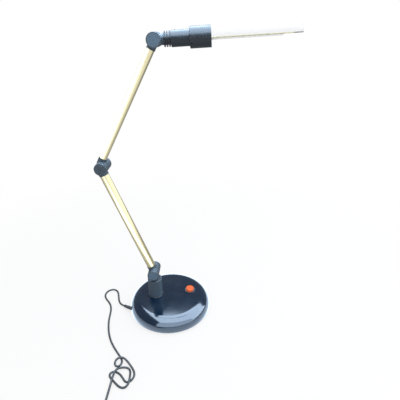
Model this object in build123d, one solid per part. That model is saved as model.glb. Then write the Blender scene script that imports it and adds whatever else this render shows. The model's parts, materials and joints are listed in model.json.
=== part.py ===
from build123d import *
import os
from math import cos, hypot, pi, radians, sin, sqrt, tan

# Articulated desk lamp: a weighted round base, a turning post, two tube arms on friction joints
# and a head with a half-round reflector over a twin tube lamp. Millimetres, +Z up, +Y to the back,
# origin on the table under the centre of the base.

# Clearances and fits
REST_GAP = 0.3
RUN_FIT = 0.05
SEAT_FIT = 0.1
SWEEP_GAP = 0.5
OVERRUN = 5.0

# Base cover
BASE_R = 100.0
FLANK_R = 26.0
FLANK_Z = 7.0
FLANK_LOW_DEG = -10.5
SHOULDER_DEG = 86.0
COVER_WALL = 3.0

# Floor of the base: what is shy stands back by that much from its neighbour
FELT_T = 2.3
FELT_SHY = 4.0
TRAY_T = 2.0
TRAY_SHY = 0.8
WEIGHT_T = 5.0
WEIGHT_SHY = 3.0
TRAY_SCREW_COUNT = 4
TRAY_SCREW_INSET = 11.2
TRAY_SCREW_R = 2.0
TRAY_SCREW_HEAD_R = 4.0
TRAY_SCREW_HEAD_SHY = 0.4
TRAY_SCREW_DEPTH = 12.0
SCREW_BOSS_R = 5.0

# Swivel between base and post
POST_INSET = 64.0
POST_Y = 0.0
POST_BOSS_R = 19.0
POST_BOSS_LIFT = 1.04
POST_BOSS_T = 7.4
FOOT_RING_PROUD = 0.8
FOOT_RING_T = 1.0
SPINDLE_R = 7.0
SPINDLE_WALL = 2.5
SPINDLE_TAIL = 3.4
SPINDLE_LEAD = 4.0
SPINDLE_WASHER_R = 13.0
SPINDLE_WASHER_T = 1.6
SPINDLE_NUT_FLAT = 19.0
SPINDLE_NUT_T = 5.0
CLIP_W = 3.0
CLIP_T = 2.0

# Post
POST_R = 17.5
POST_H = 48.0
POST_EDGE = 0.8
POST_WALL = 3.0
POST_PLUG = 13.0
POST_ROOM = 13.3
PIVOT_RISE = 22.0
STEM_R = 10.0
WIRE_WAY_R = 3.0

# Push switch
BUTTON_INSET = 50.0
BUTTON_Y = 15.0
BUTTON_R = 10.0
BUTTON_PROUD = 6.0
BUTTON_EDGE = 2.0
BUTTON_TRAVEL = 3.0
BUTTON_GAP = 0.4
BUTTON_SHY = 1.0
BUTTON_STEM_R = 2.5
BUTTON_STEM = 10.0
BEZEL_LIFT = 1.06
BEZEL_FLANGE_W = 1.0
BEZEL_FLANGE_T = 1.2
BEZEL_WALL = 1.6
BEZEL_NECK = 8.4
BUTTON_BOSS_WALL = 2.0
BUTTON_BOSS_T = 5.4
SWITCH_SIDE = 25.0
WELL_SPARE = 2.0

# Electrical parts in the base
CHOKE_L = 66.0
CHOKE_W = 30.0
CHOKE_SHY = 1.0
CHOKE_ROOM = 5.0
CHOKE_RIM_L = 13.0
CHOKE_RIM_W = 8.0
CHOKE_COIL_PROUD = 1.5
TERMINAL_X = -28.0
TERMINAL_INSET = 30.0
TERMINAL_L = 30.0
TERMINAL_W = 16.0
TERMINAL_H = 13.0
TERMINAL_WAYS = 3
TERMINAL_HOLE_R = 1.8

# Friction joints, one barrel of each side by side on the pivot
BARREL_R = 13.5
BARREL_W = 21.6
BARREL_EDGE = 0.8
WASHER_SHY = 1.5
WASHER_T = 1.0
BOLT_R = 3.0
BOLT_HEAD_R = 5.0
BOLT_HEAD_T = 6.0
BOLT_KEY_FLAT = 5.0
BOLT_KEY_DEPTH = 3.0
BOLT_POCKET_R = 8.0
BOLT_POCKET = 10.0
CAP_RIM = 2.5
CAP_T = 2.4
CAP_DIMPLE_R = 1.8
CAP_DIMPLE = 0.9
NUT_FLAT = 10.0
NUT_T = 5.0
SPRING_WASHER_R = 6.0
SPRING_WASHER_T = 1.6

# Arms
LOWER_ARM_L = 288.5
UPPER_ARM_L = 276.0
ARM_SHIFT = 6.0
LOWER_TUBE_R = 10.0
UPPER_TUBE_R = 8.0
TUBE_WALL = 1.2
SHOULDER_STEP = 0.7
SHOULDER_START = 1.5
SHOULDER_RUN = 4.5
SPIGOT = 20.0
WIRE_FIT = 0.2
WIRE_SHY = 1.0

# Pose of the arms at rest: tilt from upright about +Y
LOWER_DEG = -20.0
UPPER_DEG = 28.5
HEAD_DEG = 87.0

# Head: pieces in a row along its axis from the pivot
NECK_R = 10.0
NECK_RUN = 3.2
FIN_COUNT = 3
FIN_T = 1.8
FIN_PITCH = 4.5
FIN_PROUD = 3.7
FIN_LAST_GAP = 2.0
HOLDER_L = 33.8
HOLDER_R = 14.5
HOLDER_EDGE = 0.8
HOLDER_FLOOR = 5.0
JOURNAL_STEP = 1.5
JOURNAL_WALL = 1.5
JOURNAL_LEAD = 0.7
COLLAR_L = 39.2
COLLAR_WALL = 1.9
COLLAR_FLANGE = 7.2
COLLAR_EDGE = 0.9
SEAM_W = 1.1
SEAM_DEPTH = 0.8
COLLAR_SCREW_R = 1.0
COLLAR_SCREW_HEAD_R = 1.8
COLLAR_SCREW_HEAD_T = 1.4
COLLAR_SCREW_WALL = 0.7
COLLAR_SCREW_REACH = 5.0
KEEPER_SHY = 1.3
KEEPER_T = 1.5
SOCKET_STEP = 0.6
SOCKET_NOSE = 10.2
SOCKET_TAIL = 14.0
SOCKET_WALL = 1.0
SOCKET_SLOT_W = 12.0
SOCKET_SLOT = 16.0

# Twin tube lamp
LAMP_CAP_W = 28.0
LAMP_CAP_T = 13.0
LAMP_CAP_L = 20.0
LAMP_CAP_EDGE = 2.0
LAMP_CAP_ROOM = 1.465
LAMP_TUBE_R = 6.1
LAMP_TUBE_GAP = 2.2
LAMP_TUBE_L = 130.0
LAMP_BRIDGE_R = 3.2
LAMP_BRIDGE_BACK = 10.0

# Reflector
SHADE_STEP = 0.2
SHADE_T = 1.2
SHADE_PAST_LAMP = 32.0
SHADE_CORNER = 8.0
SHADE_SKIRT = 2.0
TONGUE = 8.0
TONGUE_T = 0.8

# Cord: its lay from the gland's tip to the coil, chosen point by point, with x from the base's edge
CORD_R = 2.2
GLAND_OUT = 23.0
GLAND_IN = 12.5
GLAND_FLANGE = 3.0
GLAND_FLANGE_R = 4.9
GLAND_ROOM = 1.0
GLAND_ROOT_R = 4.2
GLAND_TIP_R = 3.0
ROUTE_ARC_SHARE = 0.45
CORD_LAY = [
    (-16.3, -14.6, 6.6), (-24.0, -10.0, 5.5), (-31.0, -1.5, 3.6), (-36.5, 10.0, 2.3),
    (-40.0, 22.5, 2.2), (-43.5, 35.5, 2.2), (-49.0, 47.0, 2.2), (-59.0, 53.0, 2.2),
    (-70.0, 50.5, 2.2), (-77.0, 41.0, 2.2), (-78.0, 28.5, 2.2), (-72.5, 16.5, 2.2),
    (-63.5, 6.0, 2.2), (-55.0, -6.0, 2.2), (-49.5, -21.0, 2.2), (-47.3, -38.0, 2.2),
    (-46.2, -54.0, 2.2), (-43.6, -70.5, 2.2), (-39.4, -88.0, 2.2), (-33.5, -105.5, 2.2),
    (-25.8, -122.5, 2.2), (-16.0, -138.0, 2.2), (-5.3, -152.5, 2.2), (3.7, -163.5, 2.2),
    (9.6, -171.4, 2.2), (12.8, -178.3, 2.2), (12.4, -185.4, 2.2), (8.8, -190.8, 2.2),
    (3.0, -191.2, 2.6), (-1.0, -186.8, 4.0), (-1.0, -180.6, 6.2), (3.0, -175.6, 8.2),
    (10.0, -172.4, 8.3), (18.5, -174.6, 6.4), (25.4, -180.0, 3.4), (32.6, -188.0, 2.2),
    (39.2, -196.4, 2.2), (44.0, -205.0, 2.2), (45.4, -213.6, 2.2), (42.4, -221.6, 2.2),
    (36.8, -227.6, 2.2), (30.0, -227.2, 2.2), (24.4, -220.6, 2.2), (18.0, -212.2, 2.2),
    (10.0, -206.0, 2.2), (1.4, -203.2, 2.2), (-5.2, -206.6, 2.2), (-6.0, -213.6, 2.2),
    (-0.6, -220.2, 2.2), (7.0, -227.0, 2.2), (15.0, -234.4, 2.2), (23.4, -240.0, 2.2),
    (32.0, -240.6, 3.2), (37.6, -234.4, 6.0), (38.6, -226.0, 8.3), (37.4, -215.8, 5.8),
    (36.0, -205.6, 2.8), (32.8, -197.4, 2.2), (26.0, -193.4, 2.2), (17.4, -194.0, 3.2),
    (10.0, -197.8, 5.8), (5.2, -205.0, 8.2), (3.6, -213.6, 7.6), (3.0, -223.0, 8.2),
    (2.4, -234.0, 6.0), (1.6, -246.0, 3.8), (1.1, -259.0, 3.3), (1.0, -274.0, 3.3),
    (1.5, -290.0, 3.3), (1.5, -304.5, 3.3),
]

# Put-away coil, its tie and the plug
TURN_GAP = 0.5
COIL_R = 33.7
COIL_HALF_TURNS_IN = 6
COIL_HALF_TURNS_OUT = 5
COIL_LEAD = 5.0
COIL_EXIT_R = 24.0
COIL_EXIT_DEG = 40.0
TIE_W = 7.0
TIE_T = 0.8
TIE_GAP = 0.8
PLUG_RELIEF = 22.0
PLUG_RELIEF_R = 4.6
PLUG_RELIEF_TIP_R = 3.0
PLUG_L = 36.0
PLUG_FACE_W = 35.3
PLUG_NECK_W = 17.0
PLUG_NECK_T = 11.0
PLUG_EDGE = 4.0
PIN_R = 2.0
PIN_L = 19.0
PIN_SIDE = 9.3

# Base, worked out from the sizes above
FLANK_RING = BASE_R - FLANK_R
CROWN_Z = FLANK_Z - FLANK_RING * tan(radians(SHOULDER_DEG))
CROWN_R = FLANK_RING / cos(radians(SHOULDER_DEG)) + FLANK_R
TRAY_Z = FELT_T
TRAY_TOP = TRAY_Z + TRAY_T
TRAY_R = FLANK_RING + (FLANK_R - COVER_WALL) * cos(radians(FLANK_LOW_DEG)) - TRAY_SHY
TRAY_SCREW_PCR = TRAY_R - TRAY_SCREW_INSET
TRAY_SCREW_HEAD_T = FELT_T - TRAY_SCREW_HEAD_SHY
FELT_R = TRAY_SCREW_PCR - TRAY_SCREW_HEAD_R - FELT_SHY
WEIGHT_R = TRAY_SCREW_PCR - SCREW_BOSS_R - WEIGHT_SHY
WEIGHT_TOP = TRAY_TOP + WEIGHT_T
ROUTE = [(x - BASE_R, y, z) for x, y, z in CORD_LAY]
POST_X = POST_INSET - BASE_R
BUTTON_X = BASE_R - BUTTON_INSET
TERMINAL_Y = WEIGHT_R - TERMINAL_INSET
CHOKE_FAR = WEIGHT_R - CHOKE_SHY
CHOKE_Y = CHOKE_W / 2 - sqrt(CHOKE_FAR ** 2 - (CHOKE_L / 2) ** 2)


def cover_height(radius, inset):
    """Height of the cover's surface, drawn in by inset, at a distance from the base's axis."""
    flank = FLANK_R - inset
    crown = CROWN_R - inset
    if radius < FLANK_RING + flank * cos(radians(SHOULDER_DEG)):
        return CROWN_Z + sqrt(crown ** 2 - radius ** 2)
    return FLANK_Z + sqrt(flank ** 2 - (radius - FLANK_RING) ** 2)


# Swivel, post and switch, seated on the cover
POST_SEAT_Z = cover_height(hypot(POST_X, POST_Y), 0) + POST_BOSS_LIFT
POST_TOP_Z = POST_SEAT_Z + POST_H
PIVOT_Z = POST_TOP_Z + PIVOT_RISE
NUT_SEAT_Z = POST_SEAT_Z - POST_BOSS_T
FOOT_RING_R = POST_R + FOOT_RING_PROUD
FOOT_RING_TOP = POST_SEAT_Z + FOOT_RING_T
POST_FOOT_Z = FOOT_RING_TOP + REST_GAP
POST_CAVITY_R = POST_R - POST_WALL
BEARING_TOP = POST_TOP_Z - POST_PLUG - POST_ROOM
CLIP_Z = BEARING_TOP + REST_GAP
BEZEL_SEAT_Z = cover_height(hypot(BUTTON_X, BUTTON_Y), 0) + BEZEL_LIFT
BEZEL_LOW = BEZEL_SEAT_Z - BEZEL_NECK
BEZEL_NECK_R = BUTTON_R + BUTTON_GAP + BEZEL_WALL
BEZEL_FLANGE_R = BEZEL_NECK_R + BEZEL_FLANGE_W
BUTTON_TOP_Z = BEZEL_SEAT_Z + BEZEL_FLANGE_T + BUTTON_PROUD
CHOKE_TOP = cover_height(CHOKE_FAR, COVER_WALL) - CHOKE_ROOM

# Joints and arms
LAP = WASHER_T + REST_GAP
WASHER_R = BARREL_R - WASHER_SHY
CAP_R = BARREL_R - CAP_RIM
SWEEP_R = BARREL_R + SWEEP_GAP
SHOULDER_END = SWEEP_R + SHOULDER_RUN
WIRE_R = WIRE_WAY_R - WIRE_FIT
WIRE_START = SWEEP_R + WIRE_SHY

# Head, in a row from the pivot
FIN_START = SWEEP_R + NECK_RUN
HOLDER_START = FIN_START + (FIN_COUNT - 1) * FIN_PITCH + FIN_T + FIN_LAST_GAP
HOLDER_END = HOLDER_START + HOLDER_L
JOURNAL_R = HOLDER_R - JOURNAL_STEP
HOLDER_BORE_R = JOURNAL_R - JOURNAL_WALL
COLLAR_START = HOLDER_END + REST_GAP
COLLAR_END = COLLAR_START + COLLAR_L
COLLAR_BORE_R = hypot(LAMP_CAP_W / 2, LAMP_CAP_T / 2) + LAMP_CAP_ROOM
COLLAR_R = COLLAR_BORE_R + COLLAR_WALL
KEEPER_Z = COLLAR_START + COLLAR_FLANGE + REST_GAP
KEEPER_R = COLLAR_BORE_R - KEEPER_SHY
JOURNAL_END = KEEPER_Z + KEEPER_T + JOURNAL_LEAD
SOCKET_R = JOURNAL_R - SOCKET_STEP
SOCKET_TAIL_R = HOLDER_BORE_R - SEAT_FIT
SOCKET_END = JOURNAL_END + SOCKET_NOSE
SOCKET_SLOT_L = 2 * sqrt((SOCKET_TAIL_R - SOCKET_WALL) ** 2 - (SOCKET_SLOT_W / 2) ** 2)
COLLAR_SCREW_SIDE = JOURNAL_R + COLLAR_SCREW_HEAD_R + COLLAR_SCREW_WALL
LAMP_TUBE_Z = SOCKET_END + LAMP_CAP_L
LAMP_TUBE_SIDE = LAMP_TUBE_R + LAMP_TUBE_GAP / 2
LAMP_TIP = LAMP_TUBE_Z + LAMP_TUBE_L
SHADE_R = COLLAR_R - SHADE_STEP
SHADE_END = LAMP_TIP + SHADE_PAST_LAMP

# Cord
CORD_D = 2 * CORD_R
CORD_Z = ROUTE[-1][2]
TURN_PITCH = CORD_D + TURN_GAP

UPRIGHT = (Align.CENTER, Align.CENTER, Align.MIN)

parts = {}


def rod(radius, low, high):
    """Round bar on +Z from low to high."""
    return Pos(0, 0, low) * Cylinder(radius, high - low, align=UPRIGHT)


def ring(outer, inner, low, high):
    """Round tube on +Z from low to high."""
    return rod(outer, low, high) - rod(inner, low - OVERRUN, high + OVERRUN)


def block(length, width, low, high):
    """Box centred on the Z axis from low to high."""
    return Pos(0, 0, low) * Box(length, width, high - low, align=UPRIGHT)


def hexagon(flat, low, high):
    """Hexagonal bar on +Z with the stated distance across its flats."""
    side = RegularPolygon(flat / 2, 6, major_radius=False)
    return Pos(0, 0, low) * extrude(side, high - low)


def on_pivot(shape):
    """Turns a shape made on +Z onto the pivot axis +Y."""
    return Rot(-90, 0, 0) * shape


def pivot_rod(radius, start, end):
    """Round bar on the pivot axis between two places along Y, in either order."""
    return on_pivot(rod(radius, min(start, end), max(start, end)))


def round_end(shape, axis, last, size):
    """Rounds the outermost round edge at one end of a turned shape."""
    edges = shape.edges().filter_by(GeomType.CIRCLE).sort_by(axis)
    edge = edges[-1] if last else edges[0]
    return fillet(edge, size)


# Base
def dome(inset, floor):
    """Solid inside the cover's outer surface, drawn in by inset and closed at floor."""
    flank = FLANK_R - inset
    crown = CROWN_R - inset

    def on_flank(angle):
        return (FLANK_RING + flank * cos(radians(angle)), 0, FLANK_Z + flank * sin(radians(angle)))

    def on_crown(angle):
        return (crown * cos(radians(angle)), 0, CROWN_Z + crown * sin(radians(angle)))

    low, high = on_flank(FLANK_LOW_DEG), on_flank(SHOULDER_DEG)
    top = (0, 0, CROWN_Z + crown)
    outline = [
        Line((0, 0, floor), (low[0], 0, floor)),
        Line((low[0], 0, floor), low) if floor < low[2] else None,
        ThreePointArc(low, on_flank((FLANK_LOW_DEG + SHOULDER_DEG) / 2), high),
        ThreePointArc(high, on_crown((SHOULDER_DEG + 90) / 2), top),
        Line(top, (0, 0, floor)),
    ]
    return revolve(make_face([edge for edge in outline if edge]), Axis.Z)


def screw_places():
    """Places of the tray's screws."""
    step = 360 / TRAY_SCREW_COUNT
    return [
        Pos(TRAY_SCREW_PCR * cos(radians(a)), TRAY_SCREW_PCR * sin(radians(a)), 0)
        for a in (step * k for k in range(TRAY_SCREW_COUNT))
    ]


def gland_plane():
    """Plane at the cord's tip end of the gland, facing along the cord's first run."""
    start, second = Vector(*ROUTE[0]), Vector(*ROUTE[1])
    return Plane(origin=start, z_dir=second - start)


def make_base():
    """Cover, tray, weight, felt and their screws."""
    post_at = Pos(POST_X, POST_Y, 0)
    button_at = Pos(BUTTON_X, BUTTON_Y, 0)
    rim = FLANK_Z + FLANK_R * sin(radians(FLANK_LOW_DEG))
    cover = dome(0, rim) - dome(COVER_WALL, -OVERRUN)
    cover += post_at * rod(POST_BOSS_R, NUT_SEAT_Z, POST_SEAT_Z)
    boss_r = BEZEL_NECK_R + BUTTON_BOSS_WALL
    cover += button_at * rod(boss_r, BEZEL_SEAT_Z - BUTTON_BOSS_T, BEZEL_SEAT_Z)
    screw_top = TRAY_TOP + TRAY_SCREW_DEPTH
    skin = dome(COVER_WALL / 2, -OVERRUN)
    for place in screw_places():
        cover += (place * rod(SCREW_BOSS_R, TRAY_TOP, CROWN_Z + CROWN_R)) & skin
    for place in screw_places():
        cover -= place * rod(TRAY_SCREW_R + SEAT_FIT, -OVERRUN, screw_top + SEAT_FIT)
    cover -= post_at * rod(SPINDLE_R + SEAT_FIT, 0, CROWN_Z + CROWN_R + OVERRUN)
    cover -= button_at * rod(BEZEL_NECK_R + SEAT_FIT, 0, CROWN_Z + CROWN_R + OVERRUN)
    cover -= gland_plane() * rod(GLAND_ROOT_R + SEAT_FIT, -GLAND_OUT - GLAND_IN - OVERRUN, 0)
    parts["base_cover"] = cover

    tray = rod(TRAY_R, TRAY_Z, TRAY_TOP)
    screws = []
    for place in screw_places():
        tray -= place * rod(TRAY_SCREW_R + SEAT_FIT, -OVERRUN, TRAY_TOP + OVERRUN)
        head = rod(TRAY_SCREW_HEAD_R, TRAY_Z - TRAY_SCREW_HEAD_T, TRAY_Z)
        screws.append(place * (head + rod(TRAY_SCREW_R, TRAY_Z, screw_top)))
    parts["base_tray"] = tray
    parts["tray_screws"] = Compound(children=screws)
    parts["felt_pad"] = rod(FELT_R, 0, FELT_T)
    gland_end = -GLAND_OUT - GLAND_IN - GLAND_FLANGE - GLAND_ROOM
    gland_room = gland_plane() * rod(GLAND_FLANGE_R + GLAND_ROOM, gland_end, 0)
    parts["ballast_weight"] = rod(WEIGHT_R, TRAY_TOP, WEIGHT_TOP) - gland_room


def make_swivel():
    """Foot ring, hollow spindle with its nut under the cover and the clip that holds the post down."""
    at = Pos(POST_X, POST_Y, 0)
    nut_top = NUT_SEAT_Z - SPINDLE_WASHER_T
    low = nut_top - SPINDLE_NUT_T - SPINDLE_TAIL
    high = CLIP_Z + CLIP_T + SPINDLE_LEAD
    parts["foot_ring"] = at * ring(FOOT_RING_R, SPINDLE_R + SEAT_FIT, POST_SEAT_Z, FOOT_RING_TOP)
    parts["swivel_spindle"] = at * ring(SPINDLE_R, SPINDLE_R - SPINDLE_WALL, low, high)
    washer = ring(SPINDLE_WASHER_R, SPINDLE_R + SEAT_FIT, nut_top, NUT_SEAT_Z)
    nut = hexagon(SPINDLE_NUT_FLAT, nut_top - SPINDLE_NUT_T, nut_top)
    nut -= rod(SPINDLE_R + SEAT_FIT, 0, NUT_SEAT_Z)
    parts["spindle_nut"] = Compound(children=[at * washer, at * nut])
    parts["spindle_clip"] = at * ring(SPINDLE_R + CLIP_W, SPINDLE_R + SEAT_FIT, CLIP_Z, CLIP_Z + CLIP_T)


def make_switch():
    """Bezel, switch housing and the button that slides in them."""
    at = Pos(BUTTON_X, BUTTON_Y, 0)
    bore = BUTTON_R + BUTTON_GAP
    bezel = rod(BEZEL_FLANGE_R, BEZEL_SEAT_Z, BEZEL_SEAT_Z + BEZEL_FLANGE_T)
    bezel += rod(BEZEL_NECK_R, BEZEL_LOW, BEZEL_SEAT_Z)
    parts["button_bezel"] = at * (bezel - rod(bore, 0, BUTTON_TOP_Z))
    skirt_low = BEZEL_LOW + BUTTON_TRAVEL + BUTTON_SHY
    stem_low = skirt_low - BUTTON_STEM
    well = stem_low - BUTTON_TRAVEL - WELL_SPARE
    housing = block(SWITCH_SIDE, SWITCH_SIDE, WEIGHT_TOP, BEZEL_LOW)
    parts["switch_body"] = at * (housing - rod(BUTTON_STEM_R + BUTTON_GAP, well, BUTTON_TOP_Z))
    button = round_end(rod(BUTTON_R, skirt_low, BUTTON_TOP_Z), Axis.Z, True, BUTTON_EDGE)
    parts["push_button"] = at * (button + rod(BUTTON_STEM_R, stem_low, skirt_low))


def make_electrics():
    """Choke and terminal block on the weight."""
    choke_at = Pos(0, CHOKE_Y, 0)
    core = block(CHOKE_L, CHOKE_W, WEIGHT_TOP, CHOKE_TOP)
    window_l = CHOKE_L - 2 * CHOKE_RIM_L
    window_w = CHOKE_W - 2 * CHOKE_RIM_W
    parts["choke_core"] = choke_at * (core - block(window_l, window_w, 0, CHOKE_TOP + OVERRUN))
    winding_l = window_l - 2 * SEAT_FIT
    winding_w = window_w - 2 * SEAT_FIT
    winding = block(winding_l, winding_w, WEIGHT_TOP, CHOKE_TOP + CHOKE_COIL_PROUD)
    parts["choke_winding"] = choke_at * winding
    terminal = block(TERMINAL_L, TERMINAL_W, WEIGHT_TOP, WEIGHT_TOP + TERMINAL_H)
    step = TERMINAL_L / TERMINAL_WAYS
    for k in range(TERMINAL_WAYS):
        x = step * (k - (TERMINAL_WAYS - 1) / 2)
        bore = on_pivot(rod(TERMINAL_HOLE_R, -TERMINAL_W, TERMINAL_W))
        terminal -= Pos(x, 0, WEIGHT_TOP + TERMINAL_H / 2) * bore
    parts["terminal_block"] = Pos(TERMINAL_X, TERMINAL_Y, 0) * terminal


# Friction joints
def barrel(side):
    """One barrel of a joint on the pivot axis, in front for side -1 and behind for +1."""
    far = side * BARREL_W
    return round_end(pivot_rod(BARREL_R, side * LAP / 2, far), Axis.Y, side > 0, BARREL_EDGE)


def partner_sweep(side):
    """Room that the other barrel of a joint turns in."""
    return pivot_rod(SWEEP_R, side * LAP / 2, -side * (BARREL_W + OVERRUN))


def pivot_bores(side):
    """Cap recess, bolt pocket and bolt hole of a barrel."""
    far = side * BARREL_W
    fit = SEAT_FIT if side < 0 else RUN_FIT
    pocket_floor = far - side * (CAP_T + BOLT_POCKET)
    cuts = pivot_rod(CAP_R + SEAT_FIT, far - side * CAP_T, far + side * OVERRUN)
    cuts += pivot_rod(BOLT_POCKET_R, pocket_floor, far)
    return cuts + pivot_rod(BOLT_R + fit, 0, far)


def tube_knuckle(side, shift, tube_r):
    """Barrel with the shoulder and spigot of a tube that leaves along +Z at x = shift."""
    at = Pos(shift, 0, 0)
    shoulder = at * rod(tube_r + SHOULDER_STEP, SHOULDER_START, SHOULDER_END) - partner_sweep(side)
    spigot = at * rod(tube_r - TUBE_WALL - SEAT_FIT, SHOULDER_END, SHOULDER_END + SPIGOT)
    way = at * rod(WIRE_WAY_R, WIRE_START, SHOULDER_END + SPIGOT + OVERRUN)
    return barrel(side) + shoulder + spigot - pivot_bores(side) - way


def pivot_cap(side):
    """Cap that closes a barrel's end, with a small dimple in its middle."""
    far = side * BARREL_W
    cap = pivot_rod(CAP_R, far - side * CAP_T, far)
    return cap - pivot_rod(CAP_DIMPLE_R, far - side * CAP_DIMPLE, far + side * OVERRUN)


def make_pivot(name, place):
    """Bolt, friction washer, nut with its spring washer and the two caps of one joint."""
    head_in = -BARREL_W + CAP_T + BOLT_POCKET
    seat = BARREL_W - CAP_T - BOLT_POCKET + REST_GAP
    nut_low = seat + SPRING_WASHER_T
    nut_high = nut_low + NUT_T
    bolt = pivot_rod(BOLT_HEAD_R, head_in - BOLT_HEAD_T, head_in) + pivot_rod(BOLT_R, head_in, nut_high)
    key_floor = head_in - BOLT_HEAD_T + BOLT_KEY_DEPTH
    bolt -= on_pivot(hexagon(BOLT_KEY_FLAT, -BARREL_W, key_floor))
    hole = pivot_rod(BOLT_R + SEAT_FIT, -BARREL_W, BARREL_W)
    washer = pivot_rod(WASHER_R, -LAP / 2, WASHER_T - LAP / 2) - hole
    spring = pivot_rod(SPRING_WASHER_R, seat, nut_low) - hole
    nut = on_pivot(hexagon(NUT_FLAT, nut_low, nut_high)) - hole
    parts[f"{name}_bolt"] = place * bolt
    parts[f"{name}_washer"] = place * washer
    parts[f"{name}_nut"] = Compound(children=[place * spring, place * nut])
    parts[f"{name}_front_cap"] = place * pivot_cap(-1)
    parts[f"{name}_rear_cap"] = place * pivot_cap(1)


# Post and arms
def make_post(pivot):
    """Turning column and the knuckle that plugs into its top."""
    at = Pos(POST_X, POST_Y, 0)
    column = round_end(rod(POST_R, POST_FOOT_Z, POST_TOP_Z), Axis.Z, True, POST_EDGE)
    column -= rod(SPINDLE_R + RUN_FIT, 0, POST_TOP_Z)
    column -= rod(POST_CAVITY_R, BEARING_TOP, POST_TOP_Z + OVERRUN)
    parts["post_column"] = at * column
    stem = rod(STEM_R, -PIVOT_RISE, 0) - partner_sweep(1)
    plug = rod(POST_CAVITY_R - SEAT_FIT, -PIVOT_RISE - POST_PLUG, -PIVOT_RISE)
    way = rod(WIRE_WAY_R, -PIVOT_RISE - POST_PLUG - OVERRUN, -WIRE_START)
    parts["post_knuckle"] = pivot * (barrel(1) + stem + plug - pivot_bores(1) - way)


def arm_tube(tube_r, arm_l):
    """Straight tube between the shoulders of an arm's two knuckles, from the first pivot along +Z."""
    return ring(tube_r, tube_r - TUBE_WALL, SHOULDER_END, arm_l - SHOULDER_END)


def arm_wire(arm_l):
    """Lead inside a tube, held in the ways through both spigots."""
    return rod(WIRE_R, WIRE_START, arm_l - WIRE_START)


def make_arms(pivot, elbow):
    """Lower arm with its front barrels and upper arm with its rear barrels."""
    turned = Rot(0, 180, 0)
    to_end = Pos(ARM_SHIFT, 0, LOWER_ARM_L)
    parts["lower_foot_knuckle"] = pivot * tube_knuckle(-1, 0, LOWER_TUBE_R)
    parts["lower_elbow_knuckle"] = pivot * to_end * turned * tube_knuckle(-1, ARM_SHIFT, LOWER_TUBE_R)
    parts["lower_tube"] = pivot * arm_tube(LOWER_TUBE_R, LOWER_ARM_L)
    parts["lower_wire"] = pivot * arm_wire(LOWER_ARM_L)
    aside = elbow * Pos(-ARM_SHIFT, 0, 0)
    head_end = aside * Pos(0, 0, UPPER_ARM_L)
    parts["upper_elbow_knuckle"] = elbow * tube_knuckle(1, -ARM_SHIFT, UPPER_TUBE_R)
    parts["upper_head_knuckle"] = head_end * turned * tube_knuckle(1, 0, UPPER_TUBE_R)
    parts["upper_tube"] = aside * arm_tube(UPPER_TUBE_R, UPPER_ARM_L)
    parts["upper_wire"] = aside * arm_wire(UPPER_ARM_L)


# Head, made along +Z with the reflector's back towards -X
def make_head(place):
    """Knuckle with its neck, finned collar, holder body, lamp socket and lamp."""
    neck = rod(NECK_R, SHOULDER_START, FIN_START) - partner_sweep(-1)
    way = rod(WIRE_WAY_R, WIRE_START, FIN_START + OVERRUN)
    parts["head_knuckle"] = place * (barrel(-1) + neck - pivot_bores(-1) - way)

    fins = rod(NECK_R, FIN_START, HOLDER_START)
    for k in range(FIN_COUNT):
        low = FIN_START + k * FIN_PITCH
        fins += rod(NECK_R + FIN_PROUD, low, low + FIN_T)
    parts["fin_collar"] = place * (fins - rod(WIRE_WAY_R, 0, HOLDER_END))

    body = rod(HOLDER_R, HOLDER_START, HOLDER_END)
    body = round_end(body, Axis.Z, False, HOLDER_EDGE)
    body += rod(JOURNAL_R, HOLDER_END, JOURNAL_END)
    body -= rod(HOLDER_BORE_R, HOLDER_START + HOLDER_FLOOR, JOURNAL_END + OVERRUN)
    parts["holder_body"] = place * (body - rod(WIRE_WAY_R, 0, HOLDER_END))
    keeper = ring(KEEPER_R, JOURNAL_R + SEAT_FIT, KEEPER_Z, KEEPER_Z + KEEPER_T)
    parts["collar_keeper"] = place * keeper

    socket = rod(SOCKET_TAIL_R, HOLDER_END - SOCKET_TAIL, JOURNAL_END)
    socket += rod(SOCKET_R, JOURNAL_END, SOCKET_END)
    slot = block(SOCKET_SLOT_W, SOCKET_SLOT_L, SOCKET_END - SOCKET_SLOT, SOCKET_END + OVERRUN)
    parts["lamp_socket"] = place * (socket - slot)

    cap = block(LAMP_CAP_T, LAMP_CAP_W, SOCKET_END, LAMP_TUBE_Z)
    cap = fillet(cap.edges().filter_by(Axis.Z), LAMP_CAP_EDGE)
    stub_l = SOCKET_SLOT_L - 2 * SEAT_FIT
    stub_w = SOCKET_SLOT_W - 2 * SEAT_FIT
    cap += block(stub_w, stub_l, SOCKET_END - SOCKET_SLOT + SEAT_FIT, SOCKET_END)
    parts["lamp_cap"] = place * cap
    round_z = LAMP_TIP - LAMP_TUBE_R
    tube = rod(LAMP_TUBE_R, LAMP_TUBE_Z, round_z) + Pos(0, 0, round_z) * Sphere(LAMP_TUBE_R)
    glass = Pos(0, LAMP_TUBE_SIDE, 0) * tube + Pos(0, -LAMP_TUBE_SIDE, 0) * tube
    bridge = pivot_rod(LAMP_BRIDGE_R, -LAMP_TUBE_SIDE, LAMP_TUBE_SIDE)
    parts["lamp_tubes"] = place * (glass + Pos(0, 0, LAMP_TIP - LAMP_BRIDGE_BACK) * bridge)


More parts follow.
